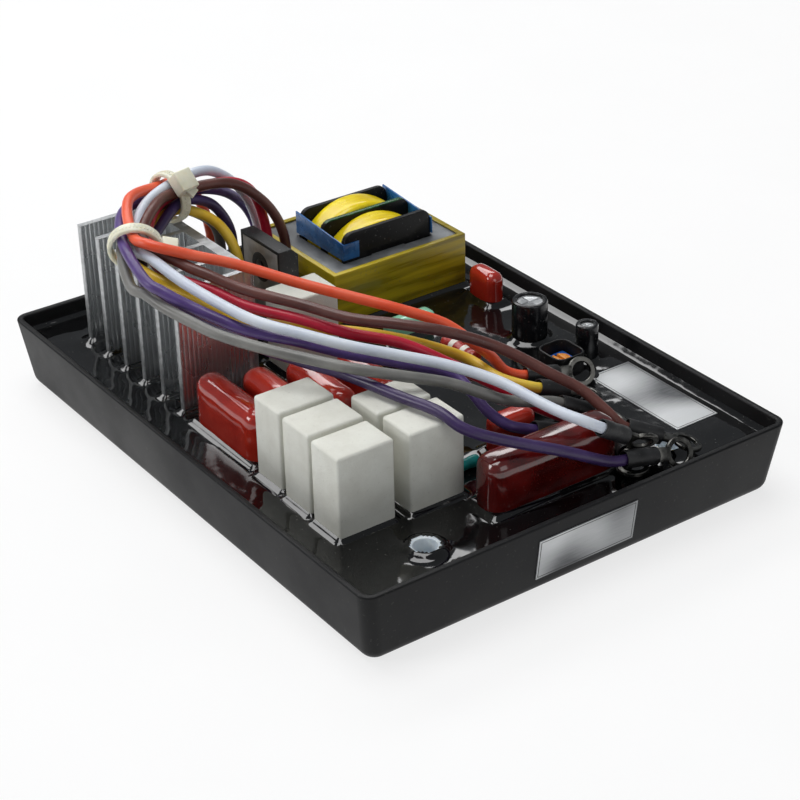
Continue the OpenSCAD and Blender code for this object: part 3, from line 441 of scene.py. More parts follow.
for name, (middle, run, wide) in TIES.items():
    along = Vector(run).normalized()
    across = (Vector(wide) - Vector(wide).dot(along) * along).normalized()
    turn = Matrix((across, along.cross(across), along)).transposed().to_4x4()
    place = Matrix.Translation(Vector(middle) * MM) @ turn
    bm = bmesh.new()
    lathe(bm, STRAP_PROFILE, upright(0, 0), TEETH_STEPS)
    bm.normal_update()
    teeth = []
    for face in bm.faces:
        spot = face.calc_center_median()
        if abs(spot.z) < 0.1 * MM and spot.xy.length > 5.5 * MM:
            step = round(math.degrees(math.atan2(spot.y, spot.x)) / (360 / TEETH_STEPS) - 0.5)
            teeth += [face] if step % 2 else []
    bmesh.ops.inset_individual(bm, faces=teeth, thickness=0.04 * MM, depth=-0.12 * MM)
    head = bmesh.new()
    block(head, HEAD_SIZE, (HEAD, 0, -HEAD_SIZE[2] / 2))
    mouth = (max if name == "upper" else min)(head.faces, key=lambda f: f.normal.y)
    bmesh.ops.inset_region(head, faces=[mouth], thickness=0.8 * MM)
    bmesh.ops.inset_region(head, faces=[mouth], thickness=0.1 * MM, depth=-1.4 * MM)
    corners = [e for e in head.edges if e.calc_face_angle(0) > 1.0]
    soften(head, corners, 0.35, 3)
    join_in(bm, head)
    if name == "upper":
        tail = bmesh.new()
        block(tail, (STRAP_THICK, TAIL_LONG, STRAP_WIDE), (0, -TAIL_LONG / 2, -STRAP_WIDE / 2))
        soften(tail, edges_of(tail.verts[:]), 0.15, 2)
        join_in(bm, tail, upright(HEAD, -1.3) @ Matrix.Rotation(math.radians(TAIL_TURN), 4, "X"))
    bmesh.ops.transform(bm, matrix=place, verts=bm.verts)
    settle("cable_tie_" + name, bm, [nylon], ["tie_" + name], crisp=50)

# %% [markdown]
# ## Tray
# The tray is one moulding with leaning walls. A box is drawn in at its foot, its corners and foot
# are rounded, and its top face is inset by the wall and pushed down to the floor. Two holes go
# through the floor for the spacers: the floor faces are filled again round a circle and the two
# circles are bridged.

# %% Tray finish
# Moulded ABS with a fine spark texture: deep black, with hardly any highlight
tray_plastic = coating("moulded_abs", "09090A", "131315", patch=22, fine=0.25, rough=(0.4, 0.54),
                       depth=0.006, specular=0.2, dust="77776F", dusty=0.1)

# %% Tray
def box_of(node):
    """Low and high corner of a solid in millimetres."""
    points = [v.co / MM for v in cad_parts[node].data.vertices]
    return [[round(pick(p[axis] for p in points), 2) for axis in range(3)] for pick in (min, max)]


TRAY = [high - low for low, high in zip(*box_of("tray"))]
WALL, FLOOR, LEAN = 1.5, 1.6, 2.2
CORNER_ROUND, FOOT_ROUND, RIM_ROUND = 3.0, 2.6, 0.4
SPACERS = [(58, -30.5), (58, 30.5)]
FLOOR_HOLE = 4.05


def lean_in(z):
    """How far the outside wall stands inside the rim at a height."""
    return LEAN * (1 - z / TRAY[2])


bm = bmesh.new()
body = block(bm, TRAY, (0, 0, 0))
for v in body:
    if v.co.z < 1 * MM:
        v.co.x -= math.copysign(LEAN * MM, v.co.x)
        v.co.y -= math.copysign(LEAN * MM, v.co.y)
walls = [e for e in bm.edges if abs(e.verts[0].co.z - e.verts[1].co.z) > 10 * MM]
soften(bm, walls, CORNER_ROUND, 8)
under = min(bm.faces, key=lambda f: f.calc_center_median().z)
soften(bm, list(under.edges), FOOT_ROUND, 6)
top = max(bm.faces, key=lambda f: f.calc_center_median().z)
bmesh.ops.inset_region(bm, faces=[top], thickness=WALL * MM)
pushed = bmesh.ops.extrude_face_region(bm, geom=[top])
floor_verts = [v for v in pushed["geom"] if isinstance(v, bmesh.types.BMVert)]
for v in floor_verts:
    v.co.z = FLOOR * MM
    v.co.x -= math.copysign(lean_in(FLOOR) * MM, v.co.x)
    v.co.y -= math.copysign(lean_in(FLOOR) * MM, v.co.y)
if top.is_valid:
    bmesh.ops.delete(bm, geom=[top], context="FACES_ONLY")
rim = [e for e in bm.edges if min(v.co.z for v in e.verts) > TRAY[2] * MM - 1e-6
       and len(e.link_faces) == 2 and e.calc_face_angle(0) > 0.8]
soften(bm, rim, RIM_ROUND, 4)
print("tray", [round(side, 1) for side in TRAY], "mm")

# %% Holes in the tray floor
for level in (0.0, FLOOR):
    flat = [f for f in bm.faces
            if abs(f.calc_center_median().z - level * MM) < 1e-6 and abs(f.normal.z) > 0.99]
    flat = max(flat, key=lambda f: f.calc_area())
    ring_edges = list(flat.edges)
    bmesh.ops.delete(bm, geom=[flat], context="FACES_ONLY")
    for x, y in SPACERS:
        circle = bmesh.ops.create_circle(bm, segments=48, radius=FLOOR_HOLE * MM, matrix=upright(x, y, level))
        ring_edges += edges_of(circle["verts"])
    bmesh.ops.triangle_fill(bm, use_beauty=True, edges=ring_edges)
for x, y in SPACERS:
    axis = Vector((x, y)) * MM
    mouth = [e for e in bm.edges
             if all(abs((v.co.xy - axis).length - FLOOR_HOLE * MM) < 1e-6 for v in e.verts)]
    bmesh.ops.bridge_loops(bm, edges=mouth)
settle("moulded_tray", bm, [tray_plastic], ["tray"])

# %% [markdown]
# ## Potting resin
# The resin was poured as a liquid, so it climbs a little up the walls and up everything that
# stands in it before it sets. A fine grid carries that: each point is lifted by how near the
# closest piece is. A steep lift dies away within a millimetre and a shallow one within a few, which
# gives the thin bright lines and the pale patches round every piece.

# %% Resin finish
# Cast epoxy sets like a mirror: black by itself, it shows what stands round it
resin, tree = new_finish("cast_black_epoxy")
place = add(tree, "TexCoord").outputs["Object"]
smears = add(tree, "TexNoise", {"Scale": 1 / (14 * MM), "Detail": 5.0, "Roughness": 0.6}, {"Vector": place})
dots = add(tree, "TexNoise", {"Scale": 1 / (0.55 * MM), "Detail": 2.0, "Roughness": 0.55}, {"Vector": place})
ripples = add(tree, "TexNoise", {"Scale": 1 / (7 * MM), "Detail": 2.0, "Roughness": 0.55}, {"Vector": place})
share = add(tree, "MapRange", MIDDLE, {"Value": smears})
colour = add(tree, "Mix", {6: linear("050506"), 7: linear("0B0B0C")}, {0: share}, data_type="RGBA").outputs[2]
specks = add(tree, "MapRange", {"From Min": 0.7, "From Max": 0.74, "To Max": 0.35}, {"Value": dots})
dusted = add(tree, "Mix", {7: linear("8C8C86")}, {0: specks, 6: colour}, data_type="RGBA").outputs[2]
gloss = add(tree, "MapRange", {**MIDDLE, "To Min": 0.03, "To Max": 0.09}, {"Value": smears})
relief = add(tree, "Bump", {"Distance": 0.12 * MM, "Strength": 1.0}, {"Height": ripples})
shader = add(tree, "BsdfPrincipled", {"Specular IOR Level": 0.7},
             {"Base Color": dusted, "Roughness": gloss, "Normal": relief})
add(tree, "OutputMaterial", links={"Surface": shader})

# %% What stands in the resin, in millimetres
RESIN_TOP = box_of("potting")[1][2]
FIN_DEEP, FIN_HALF, FRONT = 16.5, 0.9, -24.5
BACK_PLATE = (-34.5, -23.25, 21, 1.25)
FINS = [-54.875 + 8.15 * i for i in range(6)]
RESISTORS = [(21.2, -35.2), (31.8, -35.5), (42.4, -35.9), (43.2, -19.9), (32.9, -20.2), (-17, -8.5)]
RESISTOR_SIZE = (9.2, 13, 25)
FILM = [(2.4, -37.8, 24.1), (5, -29, 21.5), (7.5, -20, 21.5), (10.5, -9.5, 21.5)]
FILM_THICK, FILM_TALL = 7, 18.5
DIPPED = {
    "output": ((54.6, 1.5), (8.2, 32, 18.7)),
    "coupling": ((38.7, 5), (5.6, 10.5, 15.2)),
    "rear": ((-17.2, 41.8), (9.4, 5, 14.4)),
    "green": ((-14.5, 18), (5, 13, 11.2)),
}
CANS = {"large": ((4.2, 37.5), 4.0, 16.3), "small": ((19.2, 41.4), 2.5, 15.3)}
SPACER_R = 3.75


def footprint(node):
    """Middle and half size of a solid, seen from above."""
    low, high = box_of(node)
    return (*[(low[i] + high[i]) / 2 for i in (0, 1)], *[(high[i] - low[i]) / 2 for i in (0, 1)])


STANDING = [(x, FRONT - FIN_DEEP / 2, FIN_HALF, FIN_DEEP / 2) for x in FINS] + [BACK_PLATE]
STANDING += [(x, y, RESISTOR_SIZE[0] / 2, RESISTOR_SIZE[1] / 2) for x, y in RESISTORS]
STANDING += [(x, y, long / 2, FILM_THICK / 2) for x, y, long in FILM]
STANDING += [(x, y, size[0] / 2, size[1] / 2) for (x, y), size in DIPPED.values()]
STANDING += [footprint("trimmer_collar"), footprint("core_tape")]
ROUND = [(x, y, r) for (x, y), r, tall in CANS.values()] + [(x, y, SPACER_R) for x, y in SPACERS]
ROUND += [(route[0][0], route[0][1], WIRE_ACROSS / 2) for route in ROUTES.values()]
print(len(STANDING), "square and", len(ROUND), "round pieces stand in the resin")

# %% Resin surface
CLIMB, REACH = 0.85, 0.6
SKIRT, WIDE_REACH = 0.45, 2.2
CELL, OVERLAP, TUBE_CUT = 0.55, 0.1, 3.05
FOOT_SHARE = (0.972, 0.965)


def clear_of(x, y):
    """Distances from a point to the nearest wall and the nearest piece, in millimetres."""
    wall = min(TRAY[0] / 2 - abs(x), TRAY[1] / 2 - abs(y)) - lean_in(RESIN_TOP) - WALL
    edge = []
    for cx, cy, hx, hy in STANDING:
        edge.append(math.hypot(max(abs(x - cx) - hx, 0), max(abs(y - cy) - hy, 0)))
    for cx, cy, r in ROUND:
        edge.append(math.hypot(x - cx, y - cy) - r)
    return max(wall, 0), max(min(edge), 0)


half = [side / 2 - lean_in(RESIN_TOP) - WALL + OVERLAP for side in TRAY[:2]]
cells = [round(2 * h / CELL) for h in half]
bm = bmesh.new()
bmesh.ops.create_grid(bm, x_segments=cells[0], y_segments=cells[1], size=1,
                      matrix=Matrix.Diagonal((half[0] * MM, half[1] * MM, 1, 1)))
for v in bm.verts:
    x, y = v.co.x / MM, v.co.y / MM
    swell = 0.1 * noise.noise(Vector((x / 17, y / 17, 0.3)))
    wall, piece = clear_of(x, y)
    lift = CLIMB * math.exp(-min(wall, piece) / REACH) + SKIRT * math.exp(-piece / WIDE_REACH)
    v.co.z = (RESIN_TOP + swell + lift) * MM
inside_tubes = [f for f in bm.faces
                if min((f.calc_center_median().xy - Vector(s) * MM).length for s in SPACERS) < TUBE_CUT * MM]
bmesh.ops.delete(bm, geom=inside_tubes, context="FACES")
lips = [e for e in bm.edges if e.is_boundary]
dropped = bmesh.ops.extrude_edge_only(bm, edges=lips)
low = [v for v in dropped["geom"] if isinstance(v, bmesh.types.BMVert)]
for v in low:
    v.co.z = (FLOOR + 0.05) * MM
    if min((v.co.xy - Vector(s) * MM).length for s in SPACERS) > 6 * MM:
        v.co.x *= FOOT_SHARE[0]
        v.co.y *= FOOT_SHARE[1]
foot_edges = [e for e in dropped["geom"] if isinstance(e, bmesh.types.BMEdge) and e.is_boundary]
bmesh.ops.triangle_fill(bm, use_beauty=True, edges=foot_edges)
settle("poured_resin", bm, [resin], ["potting"], crisp=60)

# %% [markdown]
# ## Mounting spacers
# Two pale nylon tubes go right through the tray and take the fixing screws. A tube is a turned
# part, so its half section is spun, with a small chamfer at each end.

# %% Spacers
TUBE_PROFILE = [(2.35, 0.35), (2.6, 0.0), (3.5, 0.0), (SPACER_R, 0.25), (SPACER_R, 13.3), (3.55, 13.6),
                (3.35, 13.65), (2.75, 13.65), (2.45, 13.5), (2.35, 13.2), (2.35, 0.35)]
bm = bmesh.new()
for x, y in SPACERS:
    lathe(bm, TUBE_PROFILE, upright(x, y), 48)
# The same milky nylon, here bluish and cold beside the black
spacer_nylon = coating("cool_white_nylon", "C4CED6", "E0E7EB", patch=4, fine=0.5, rough=(0.3, 0.42),
                       depth=0.01, glow=0.3, dusty=0.15)
settle("spacer_tubes", bm, [spacer_nylon], ["mounting_spacers"])

# %% [markdown]
# ## Heat sink
# The sink is a length sawn off an aluminium extrusion, so every line on it runs upright. Bump in the
# finish would leave the fins flat, so each fin is a thin box cut into many strips along its depth.
# Between two ribs a strip's edge stays back as a narrow groove and all the others are pushed out,
# which leaves the flat lands of the die. The sawn top and the fin tips get a greyer, rougher finish
# than the faces.

# %% Aluminium
# Extruded aluminium: pale and satin, with upright die lines drawn as coarse as they need to show
extrusion, tree = new_finish("extruded_aluminium")
place = add(tree, "TexCoord").outputs["Object"]
drawn = add(tree, "Mapping", {"Scale": (1, 1, 1 / 60)}, {"Vector": place})
lines = add(tree, "TexNoise", {"Scale": 1 / (0.5 * MM), "Detail": 4.0, "Roughness": 0.55}, {"Vector": drawn})
tall = add(tree, "Mapping", {"Scale": (1, 1, 1 / 2)}, {"Vector": place})
clouds = add(tree, "TexNoise", {"Scale": 1 / (7 * MM), "Detail": 4.0, "Roughness": 0.55}, {"Vector": tall})
share = add(tree, "MapRange", MIDDLE, {"Value": lines})
colour = add(tree, "Mix", {6: linear("DADDDE"), 7: linear("EAECED")}, {0: share}, data_type="RGBA").outputs[2]
dull = add(tree, "MapRange", {**MIDDLE, "To Max": 0.45}, {"Value": clouds})
aged = add(tree, "Mix", {7: linear("C9CBCC")}, {0: dull, 6: colour}, data_type="RGBA").outputs[2]
satin = add(tree, "MapRange", {**MIDDLE, "To Min": 0.24, "To Max": 0.32}, {"Value": clouds})
relief = add(tree, "Bump", {"Distance": 0.001 * MM, "Strength": 1.0}, {"Height": lines})
shader = add(tree, "BsdfPrincipled", {"Metallic": 0.88},
             {"Base Color": aged, "Roughness": satin, "Normal": relief})
add(tree, "OutputMaterial", links={"Surface": shader})
# Sawn aluminium: short scratches across the cut break up its shine
sawn = coating("sawn_aluminium", "A6A8A9", "C6C8C9", patch=1.2, fine=0.15, rough=(0.3, 0.5), depth=0.03,
               stretch=(1, 12, 1), metal=0.7)

# %% Fins
BOARD_TOP = box_of("circuit_board")[1][2]
SINK_TALL = round(box_of("heat_sink")[1][2] - BOARD_TOP, 2)
FIN_THICK, RIBS, RIB, STRIPS = 1.3, 15, 0.08, 6
PLATE, PLATE_FOOT = (42.05, 2.5, SINK_TALL), (*BACK_PLATE[:2], BOARD_TOP)
bm = bmesh.new()
for x in FINS:
    fin = bmesh.new()
    block(fin, (FIN_THICK, FIN_DEEP, SINK_TALL), (0, -FIN_DEEP / 2, 0))
    bmesh.ops.subdivide_edges(fin, edges=edges_of(fin.verts[:], 1), cuts=STRIPS * RIBS - 1)
    for v in fin.verts:
        strip = round(-v.co.y / MM / FIN_DEEP * RIBS * STRIPS)
        if strip % STRIPS:
            v.co.x += math.copysign(RIB * MM, v.co.x)
    tips = [e for e in edges_of(fin.verts[:], 2) if e.verts[0].co.y < -FIN_DEEP * MM + 1e-7]
    soften(fin, tips, 0.15, 2)
    join_in(bm, fin, upright(x, FRONT, BOARD_TOP))
plate = block(bm, PLATE, PLATE_FOOT)
soften(bm, edges_of(plate, 2), 0.3, 2)
for face in bm.faces:
    tip = face.calc_center_median().y < (FRONT - FIN_DEEP + 0.35) * MM
    face.material_index = 1 if abs(face.normal.z) > 0.9 or tip else 0
settle("finned_heat_sink", bm, [extrusion, sawn], ["heat_sink"], crisp=28)

# %% [markdown]
# ## Power devices
# Two flat black packages: one stands free on its legs, one is screwed to the back of the sink.
# Their solids already have the right form, so a copy of each gets rounded edges and a finish. The
# free one shows a black moulded eyelet round its hole, which is a thin turned ring on the tab.

# %% Soft copies of solids
def rounded_copy(nodes, width, segments=2):
    """A bmesh of some solids with merged corners and rounded edges."""
    bm = bmesh.new()
    for node in nodes:
        bm.from_mesh(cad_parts[node].data)
    for face in bm.faces:
        face.material_index = 0
    bmesh.ops.remove_doubles(bm, verts=bm.verts, dist=2e-6)
    bmesh.ops.dissolve_limit(bm, angle_limit=math.radians(1), verts=bm.verts, edges=bm.edges)
    sharp = [e for e in bm.edges if len(e.link_faces) == 2 and e.calc_face_angle(0) > math.radians(35)]
    soften(bm, sharp, width, segments)
    return bm


def softened(name, nodes, materials, width, body="regulator"):
    """A rounded copy of some solids as a piece that stands for them."""
    return settle(name, rounded_copy(nodes, width), materials, nodes, body)


# %% Power devices
# Moulded epoxy, matt and faintly gritty: a soft grey sheen on black
moulding = coating("moulded_epoxy", "121213", "222224", patch=5, fine=0.18, rough=(0.45, 0.62), depth=0.012,
                   dusty=0.25)
# Nickel plate gone dull: a warm grey that hardly mirrors
nickel = coating("dull_nickel_plate", "8C8884", "A9A5A0", patch=3, fine=0.2, rough=(0.4, 0.54), depth=0.008,
                 metal=0.4)
# Glass-epoxy board under green lacquer: an even, half-matt green
green_board = coating("glass_epoxy_board", "12402A", "1B5A3B", patch=8, fine=0.5, rough=(0.35, 0.5),
                      depth=0.01)
EYELET_PROFILE = [(1.85, -0.08), (3.3, -0.08), (3.4, -0.03), (3.4, 0.05), (1.85, 0.05), (1.85, -0.08)]
EYELET_PLACE = (-29.9, -10.5, 31.8)
softened("device_packages", ["device_bodies"], [moulding], 0.2)
bm = rounded_copy(["device_tabs"], 0.1)
facing = upright(*EYELET_PLACE) @ Matrix.Rotation(math.radians(-90), 4, "X")
lathe(bm, EYELET_PROFILE, facing, 48, 1)
settle("device_tab_plates", bm, [nickel, moulding], ["device_tabs"])
softened("device_legs", ["device_leads"], [tinned], 0.1)
softened("clamping_screw", ["device_screw"], [nickel], 0.12)
softened("board_under_resin", ["circuit_board"], [green_board], 0.1)

# %% [markdown]
# ## Transformer
# A flat stack of steel sheets is wrapped round its side in mustard tape. A black bobbin with
# three flanges stands up out of it, holding two domed windings under bright yellow tape, and blue
# tape runs along its sides. The middle flange's top is painted dark green as a reflection. The core and
# the flat tapes are rounded copies of their solids. A winding is domed one way and rounded off the
# other, which a bevel can't give, so a box is cut into a fine net and its points are moved to that form.

# %% Core and tapes
# Rolled steel sheets half a millimetre thick: grey, with dark lines between them
laminations, tree = new_finish("rolled_steel_sheets")
place = add(tree, "TexCoord").outputs["Object"]
drawn = add(tree, "Mapping", {"Scale": (1 / 40, 1 / 40, 1)}, {"Vector": place})
sheets = add(tree, "TexNoise", {"Scale": 1 / (0.5 * MM), "Detail": 2.0, "Roughness": 0.55}, {"Vector": drawn})
clouds = add(tree, "TexNoise", {"Scale": 1 / (6 * MM), "Detail": 4.0, "Roughness": 0.55}, {"Vector": place})
share = add(tree, "MapRange", MIDDLE, {"Value": clouds})
colour = add(tree, "Mix", {6: linear("6A6D70"), 7: linear("8C8F92")}, {0: share}, data_type="RGBA").outputs[2]
seams = add(tree, "MapRange", {**MIDDLE, "To Max": 0.5}, {"Value": sheets})
stacked = add(tree, "Mix", {7: linear("33302C")}, {0: seams, 6: colour}, data_type="RGBA").outputs[2]
worn = add(tree, "MapRange", {**MIDDLE, "To Min": 0.38, "To Max": 0.55}, {"Value": clouds})
relief = add(tree, "Bump", {"Distance": 0.05 * MM, "Strength": 1.0}, {"Height": sheets})
shader = add(tree, "BsdfPrincipled", {"Metallic": 0.5},
             {"Base Color": stacked, "Roughness": worn, "Normal": relief})
add(tree, "OutputMaterial", links={"Surface": shader})
# Polyester tape over the core, smeared with varnish: streaks along the wrap and darker specks
mustard_tape = coating("varnished_polyester_tape", "857409", "CDB51C", patch=4, fine=0.8, rough=(0.24, 0.45),
                       depth=0.04, stretch=(9, 9, 0.6), dust="6B6450", dusty=0.5)
# Clean polyester tape: glossy, with shallow wrinkles
blue_tape = coating("blue_polyester_tape", "1A4A80", "2E70B2", patch=5, fine=0.6, rough=(0.2, 0.35),
                    depth=0.05)
softened("steel_core", ["transformer_core"], [laminations], 0.15)
softened("core_wrap", ["core_tape"], [mustard_tape], 0.15)
softened("side_tape", ["bobbin_tape"], [blue_tape], 0.08)

# %% Bobbin
# Glass-filled nylon, black and close: only its edges catch the light
bobbin_plastic = coating("glass_filled_nylon", "0A0A0B", "151517", patch=5, fine=0.3, rough=(0.3, 0.45),
                         depth=0.01, specular=0.25, dusty=0.2)
# Painted reflection: dark green on the top of the middle flange, glossy and lumpy
painted_green_reflection = coating("painted_green_reflection", "0E3A1E", "1C5A30", patch=1.5, fine=0.4, rough=(0.15, 0.3),
                        depth=0.05)
low, high = box_of("bobbin")
BOBBIN = footprint("bobbin")[:2]
BOBBIN_LONG, BOBBIN_WIDE, BOBBIN_TALL = [round(b - a, 2) for a, b in zip(low, high)]
FLANGE = 1.2
HUB, HUB_FOOT = (BOBBIN_LONG, 11.5, 15.7), (*BOBBIN, 11.1)
bm = bmesh.new()
for k in (-1, 0, 1):
    flange_x = BOBBIN[0] + k * (BOBBIN_LONG - FLANGE) / 2
    flange = block(bm, (FLANGE, BOBBIN_WIDE, BOBBIN_TALL), (flange_x, BOBBIN[1], BOARD_TOP))
    shoulders = [e for e in edges_of(flange, 0) if e.verts[0].co.z > 20 * MM]
    soften(bm, shoulders, 2.5, 8)
rims = [e for e in bm.edges if e.calc_face_angle(0) > 1.0]
soften(bm, rims, 0.25, 2)
block(bm, HUB, HUB_FOOT)
# The top faces of the middle flange get the painted green reflection
for face in bm.faces:
    spot = face.calc_center_median() / MM
    if abs(spot.x - BOBBIN[0]) < 1 and spot.z > BOARD_TOP + BOBBIN_TALL - 0.4:
        face.material_index = 1
settle("three_flange_bobbin", bm, [bobbin_plastic, painted_green_reflection], ["bobbin"])

# %% Winding tape
# Polyester tape drawn tight over wire: bright and glossy, with the turns showing through
yellow_tape, tree = new_finish("yellow_polyester_tape")
place = add(tree, "TexCoord").outputs["Object"]
drawn = add(tree, "Mapping", {"Scale": (1, 1 / 30, 1 / 8)}, {"Vector": place})
turns = add(tree, "TexNoise", {"Scale": 1 / (1.2 * MM), "Detail": 3.0, "Roughness": 0.55}, {"Vector": drawn})
clouds = add(tree, "TexNoise", {"Scale": 1 / (5 * MM), "Detail": 4.0, "Roughness": 0.55}, {"Vector": place})
share = add(tree, "MapRange", MIDDLE, {"Value": clouds})
colour = add(tree, "Mix", {6: linear("EACB09"), 7: linear("F8E322")}, {0: share}, data_type="RGBA").outputs[2]
between_turns = add(tree, "MapRange", {**MIDDLE, "To Max": 0.5}, {"Value": turns})
wound = add(tree, "Mix", {7: linear("D6B10A")}, {0: between_turns, 6: colour}, data_type="RGBA").outputs[2]
gloss = add(tree, "MapRange", {**MIDDLE, "To Min": 0.16, "To Max": 0.3}, {"Value": clouds})
relief = add(tree, "Bump", {"Distance": 0.06 * MM, "Strength": 1.0}, {"Height": turns})
shader = add(tree, "BsdfPrincipled", links={"Base Color": wound, "Roughness": gloss, "Normal": relief})
add(tree, "OutputMaterial", links={"Surface": shader})

# %% Windings
CHAMBER = (BOBBIN_LONG - 3 * FLANGE) / 2
COIL_WIDE, COIL_LIFT = 22.5, 0.7
DOME = math.hypot(COIL_WIDE / 2, 9.5)
for name, side, drop in (("rear", -1, -0.9), ("front", 1, 0.3)):
    bm = bmesh.new()
    top = BOARD_TOP + BOBBIN_TALL - drop
    foot = BOARD_TOP + COIL_LIFT
    middle = BOBBIN[0] + side * (CHAMBER + FLANGE) / 2
    block(bm, (CHAMBER, COIL_WIDE, top - foot), (middle, BOBBIN[1], foot))
    bmesh.ops.subdivide_edges(bm, edges=bm.edges[:], cuts=19, use_grid_fill=True)
    for v in bm.verts:
        across = (v.co.x / MM - middle) / (CHAMBER / 2)
        y = v.co.y / MM - BOBBIN[1]
        crown = top - DOME + math.sqrt(DOME ** 2 - y ** 2) - 0.7 * across ** 6
        share = (v.co.z / MM - foot) / (top - foot)
        v.co.z = (foot + share * (crown - foot)) * MM
        v.co.y -= math.copysign(0.5 * across ** 6 * MM, y)
    settle("winding_" + name + "_taped", bm, [yellow_tape], ["winding_" + name], crisp=60)

# %% [markdown]
# ## Cement resistors
# Each resistor is a white ceramic trough filled with cement, fired matt and full of fine pores. Its
# form is a plain upright block, so a bevelled box is enough, and the pores are left to the finish.

# %% Cement
# Fired cement is chalky: almost no highlight, and pits that are drawn as coarse as they need to show
cement, tree = new_finish("fired_white_cement")
place = add(tree, "TexCoord").outputs["Object"]
pores = add(tree, "TexNoise", {"Scale": 1 / (0.6 * MM), "Detail": 6.0, "Roughness": 0.75}, {"Vector": place})
clouds = add(tree, "TexNoise", {"Scale": 1 / (6 * MM), "Detail": 4.0, "Roughness": 0.55}, {"Vector": place})
share = add(tree, "MapRange", MIDDLE, {"Value": clouds})
colour = add(tree, "Mix", {6: linear("DAD9CF"), 7: linear("E5E5DC")}, {0: share}, data_type="RGBA").outputs[2]
pits = add(tree, "MapRange", {"From Min": 0.6, "From Max": 0.72, "To Max": 0.55}, {"Value": pores})
pitted = add(tree, "Mix", {7: linear("A8A598")}, {0: pits, 6: colour}, data_type="RGBA").outputs[2]
chalky = add(tree, "MapRange", {**MIDDLE, "To Min": 0.72, "To Max": 0.9}, {"Value": pores})
relief = add(tree, "Bump", {"Distance": 0.12 * MM, "Strength": 1.0}, {"Height": pores})
shader = add(tree, "BsdfPrincipled", links={"Base Color": pitted, "Roughness": chalky, "Normal": relief})
add(tree, "OutputMaterial", links={"Surface": shader})

# %% Cement resistors
bm = bmesh.new()
for x, y in RESISTORS:
    body = block(bm, RESISTOR_SIZE, (x, y, BOARD_TOP))
    soften(bm, edges_of(body), 0.6, 3)
settle("cement_resistor_blocks", bm, [cement], ["cement_resistors"])

# %% [markdown]
# ## Dipped capacitors
# A film capacitor is a wound block dipped in glossy epoxy, so it is a box with fat round edges and
# slightly swollen faces. A bevel would leave those faces flat, so a cube is cut into a fine net, each
# point is pulled to a rounded box, and the faces are puffed a little.

# %% Dipped shape
def dipped(bm, size, middle, edge, puff=0.25, seed=0.0):
    """A dipped block standing on the board: size, middle and edge radius in millimetres."""
    part = bmesh.new()
    bmesh.ops.create_cube(part, size=2)
    bmesh.ops.subdivide_edges(part, edges=part.edges[:], cuts=17, use_grid_fill=True)
    half_size = [s / 2 for s in size]
    for v in part.verts:
        unit = v.co.copy()
        eased = [math.copysign(1 - (1 - abs(u)) ** 1.6, u) for u in unit]
        point = Vector([e * h for e, h in zip(eased, half_size)])
        core = Vector([max(-(h - edge), min(h - edge, p)) for p, h in zip(point, half_size)])
        out = point - core
        if out.length > 1e-9:
            point = core + out.normalized() * edge
        swell = [1 - e * e for e in eased]
        lump = 0.12 * noise.noise(Vector((point.x / 4 + seed, point.y / 4, point.z / 4)))
        for axis in range(3):
            others = [swell[k] for k in range(3) if k != axis]
            if abs(unit[axis]) > 0.999:
                sink = puff * (1 - others[0] * others[1]) - lump * min(1, others[0] * others[1] * 4)
                point[axis] -= math.copysign(min(sink, puff), unit[axis])
        v.co = point * MM
    join_in(bm, part, upright(middle[0], middle[1], BOARD_TOP + half_size[2]))


def dip(name, low, high):
    """Dipped epoxy: a deep colour under a clear, slightly wavy gloss."""
    return coating(name, low, high, patch=9, fine=2.2, rough=(0.1, 0.18), depth=0.04, coat=0.8, dusty=0.06)


# %% Dipped capacitors
red_dip = dip("red_dipped_epoxy", "A02015", "B93323")
dark_red_dip = dip("dark_red_dipped_epoxy", "440A09", "6C1512")
green_dip = dip("mint_dipped_epoxy", "7CC7A4", "9AD9BC")
bm = bmesh.new()
for i, (x, y, long) in enumerate(FILM):
    dipped(bm, (long, FILM_THICK, FILM_TALL), (x, y), 3.35, seed=i * 3.1)
settle("dipped_film_capacitors", bm, [red_dip], ["film_capacitors"], crisp=70)
for part, name, node, edge, finish, slot in (
        ("output", "long_output_capacitor", "output_capacitor", 3.2, dark_red_dip, "dark_red_dip"),
        ("coupling", "dipped_coupling_capacitor", "coupling_capacitor", 2.0, red_dip, "dark_red_dip"),
        ("rear", "dipped_rear_capacitor", "rear_capacitor", 2.2, red_dip, "red_dip"),
        ("green", "dipped_green_part", "green_capacitor", 1.8, green_dip, "green_dip")):
    middle, size = DIPPED[part]
    bm = bmesh.new()
    dipped(bm, size, middle, edge, seed=middle[0])
    settle(name, bm, [finish], [node], crisp=70)

# %% [markdown]
# ## Small round parts
# The two little axial parts and the two electrolytic capacitors are turned shapes: each half
# section is spun. The capacitor's sleeve is shrunk over the edge of its can, and the can's top is
# scored with a cross so that it can vent.

# %% Axial finishes
# Baked lacquer: smooth, with a narrow bright highlight along the top
red_lacquer = coating("red_lacquer", "8A1A16", "B03028", patch=3, fine=0.4, rough=(0.2, 0.35), depth=0.02)
teal_lacquer = coating("teal_lacquer", "0C6F70", "169A94", patch=2, fine=0.3, rough=(0.15, 0.3), depth=0.01)
pale_lacquer = coating("pale_lacquer", "CFC9BE", "E2DED4", patch=2, fine=0.3, rough=(0.25, 0.4), depth=0.01)

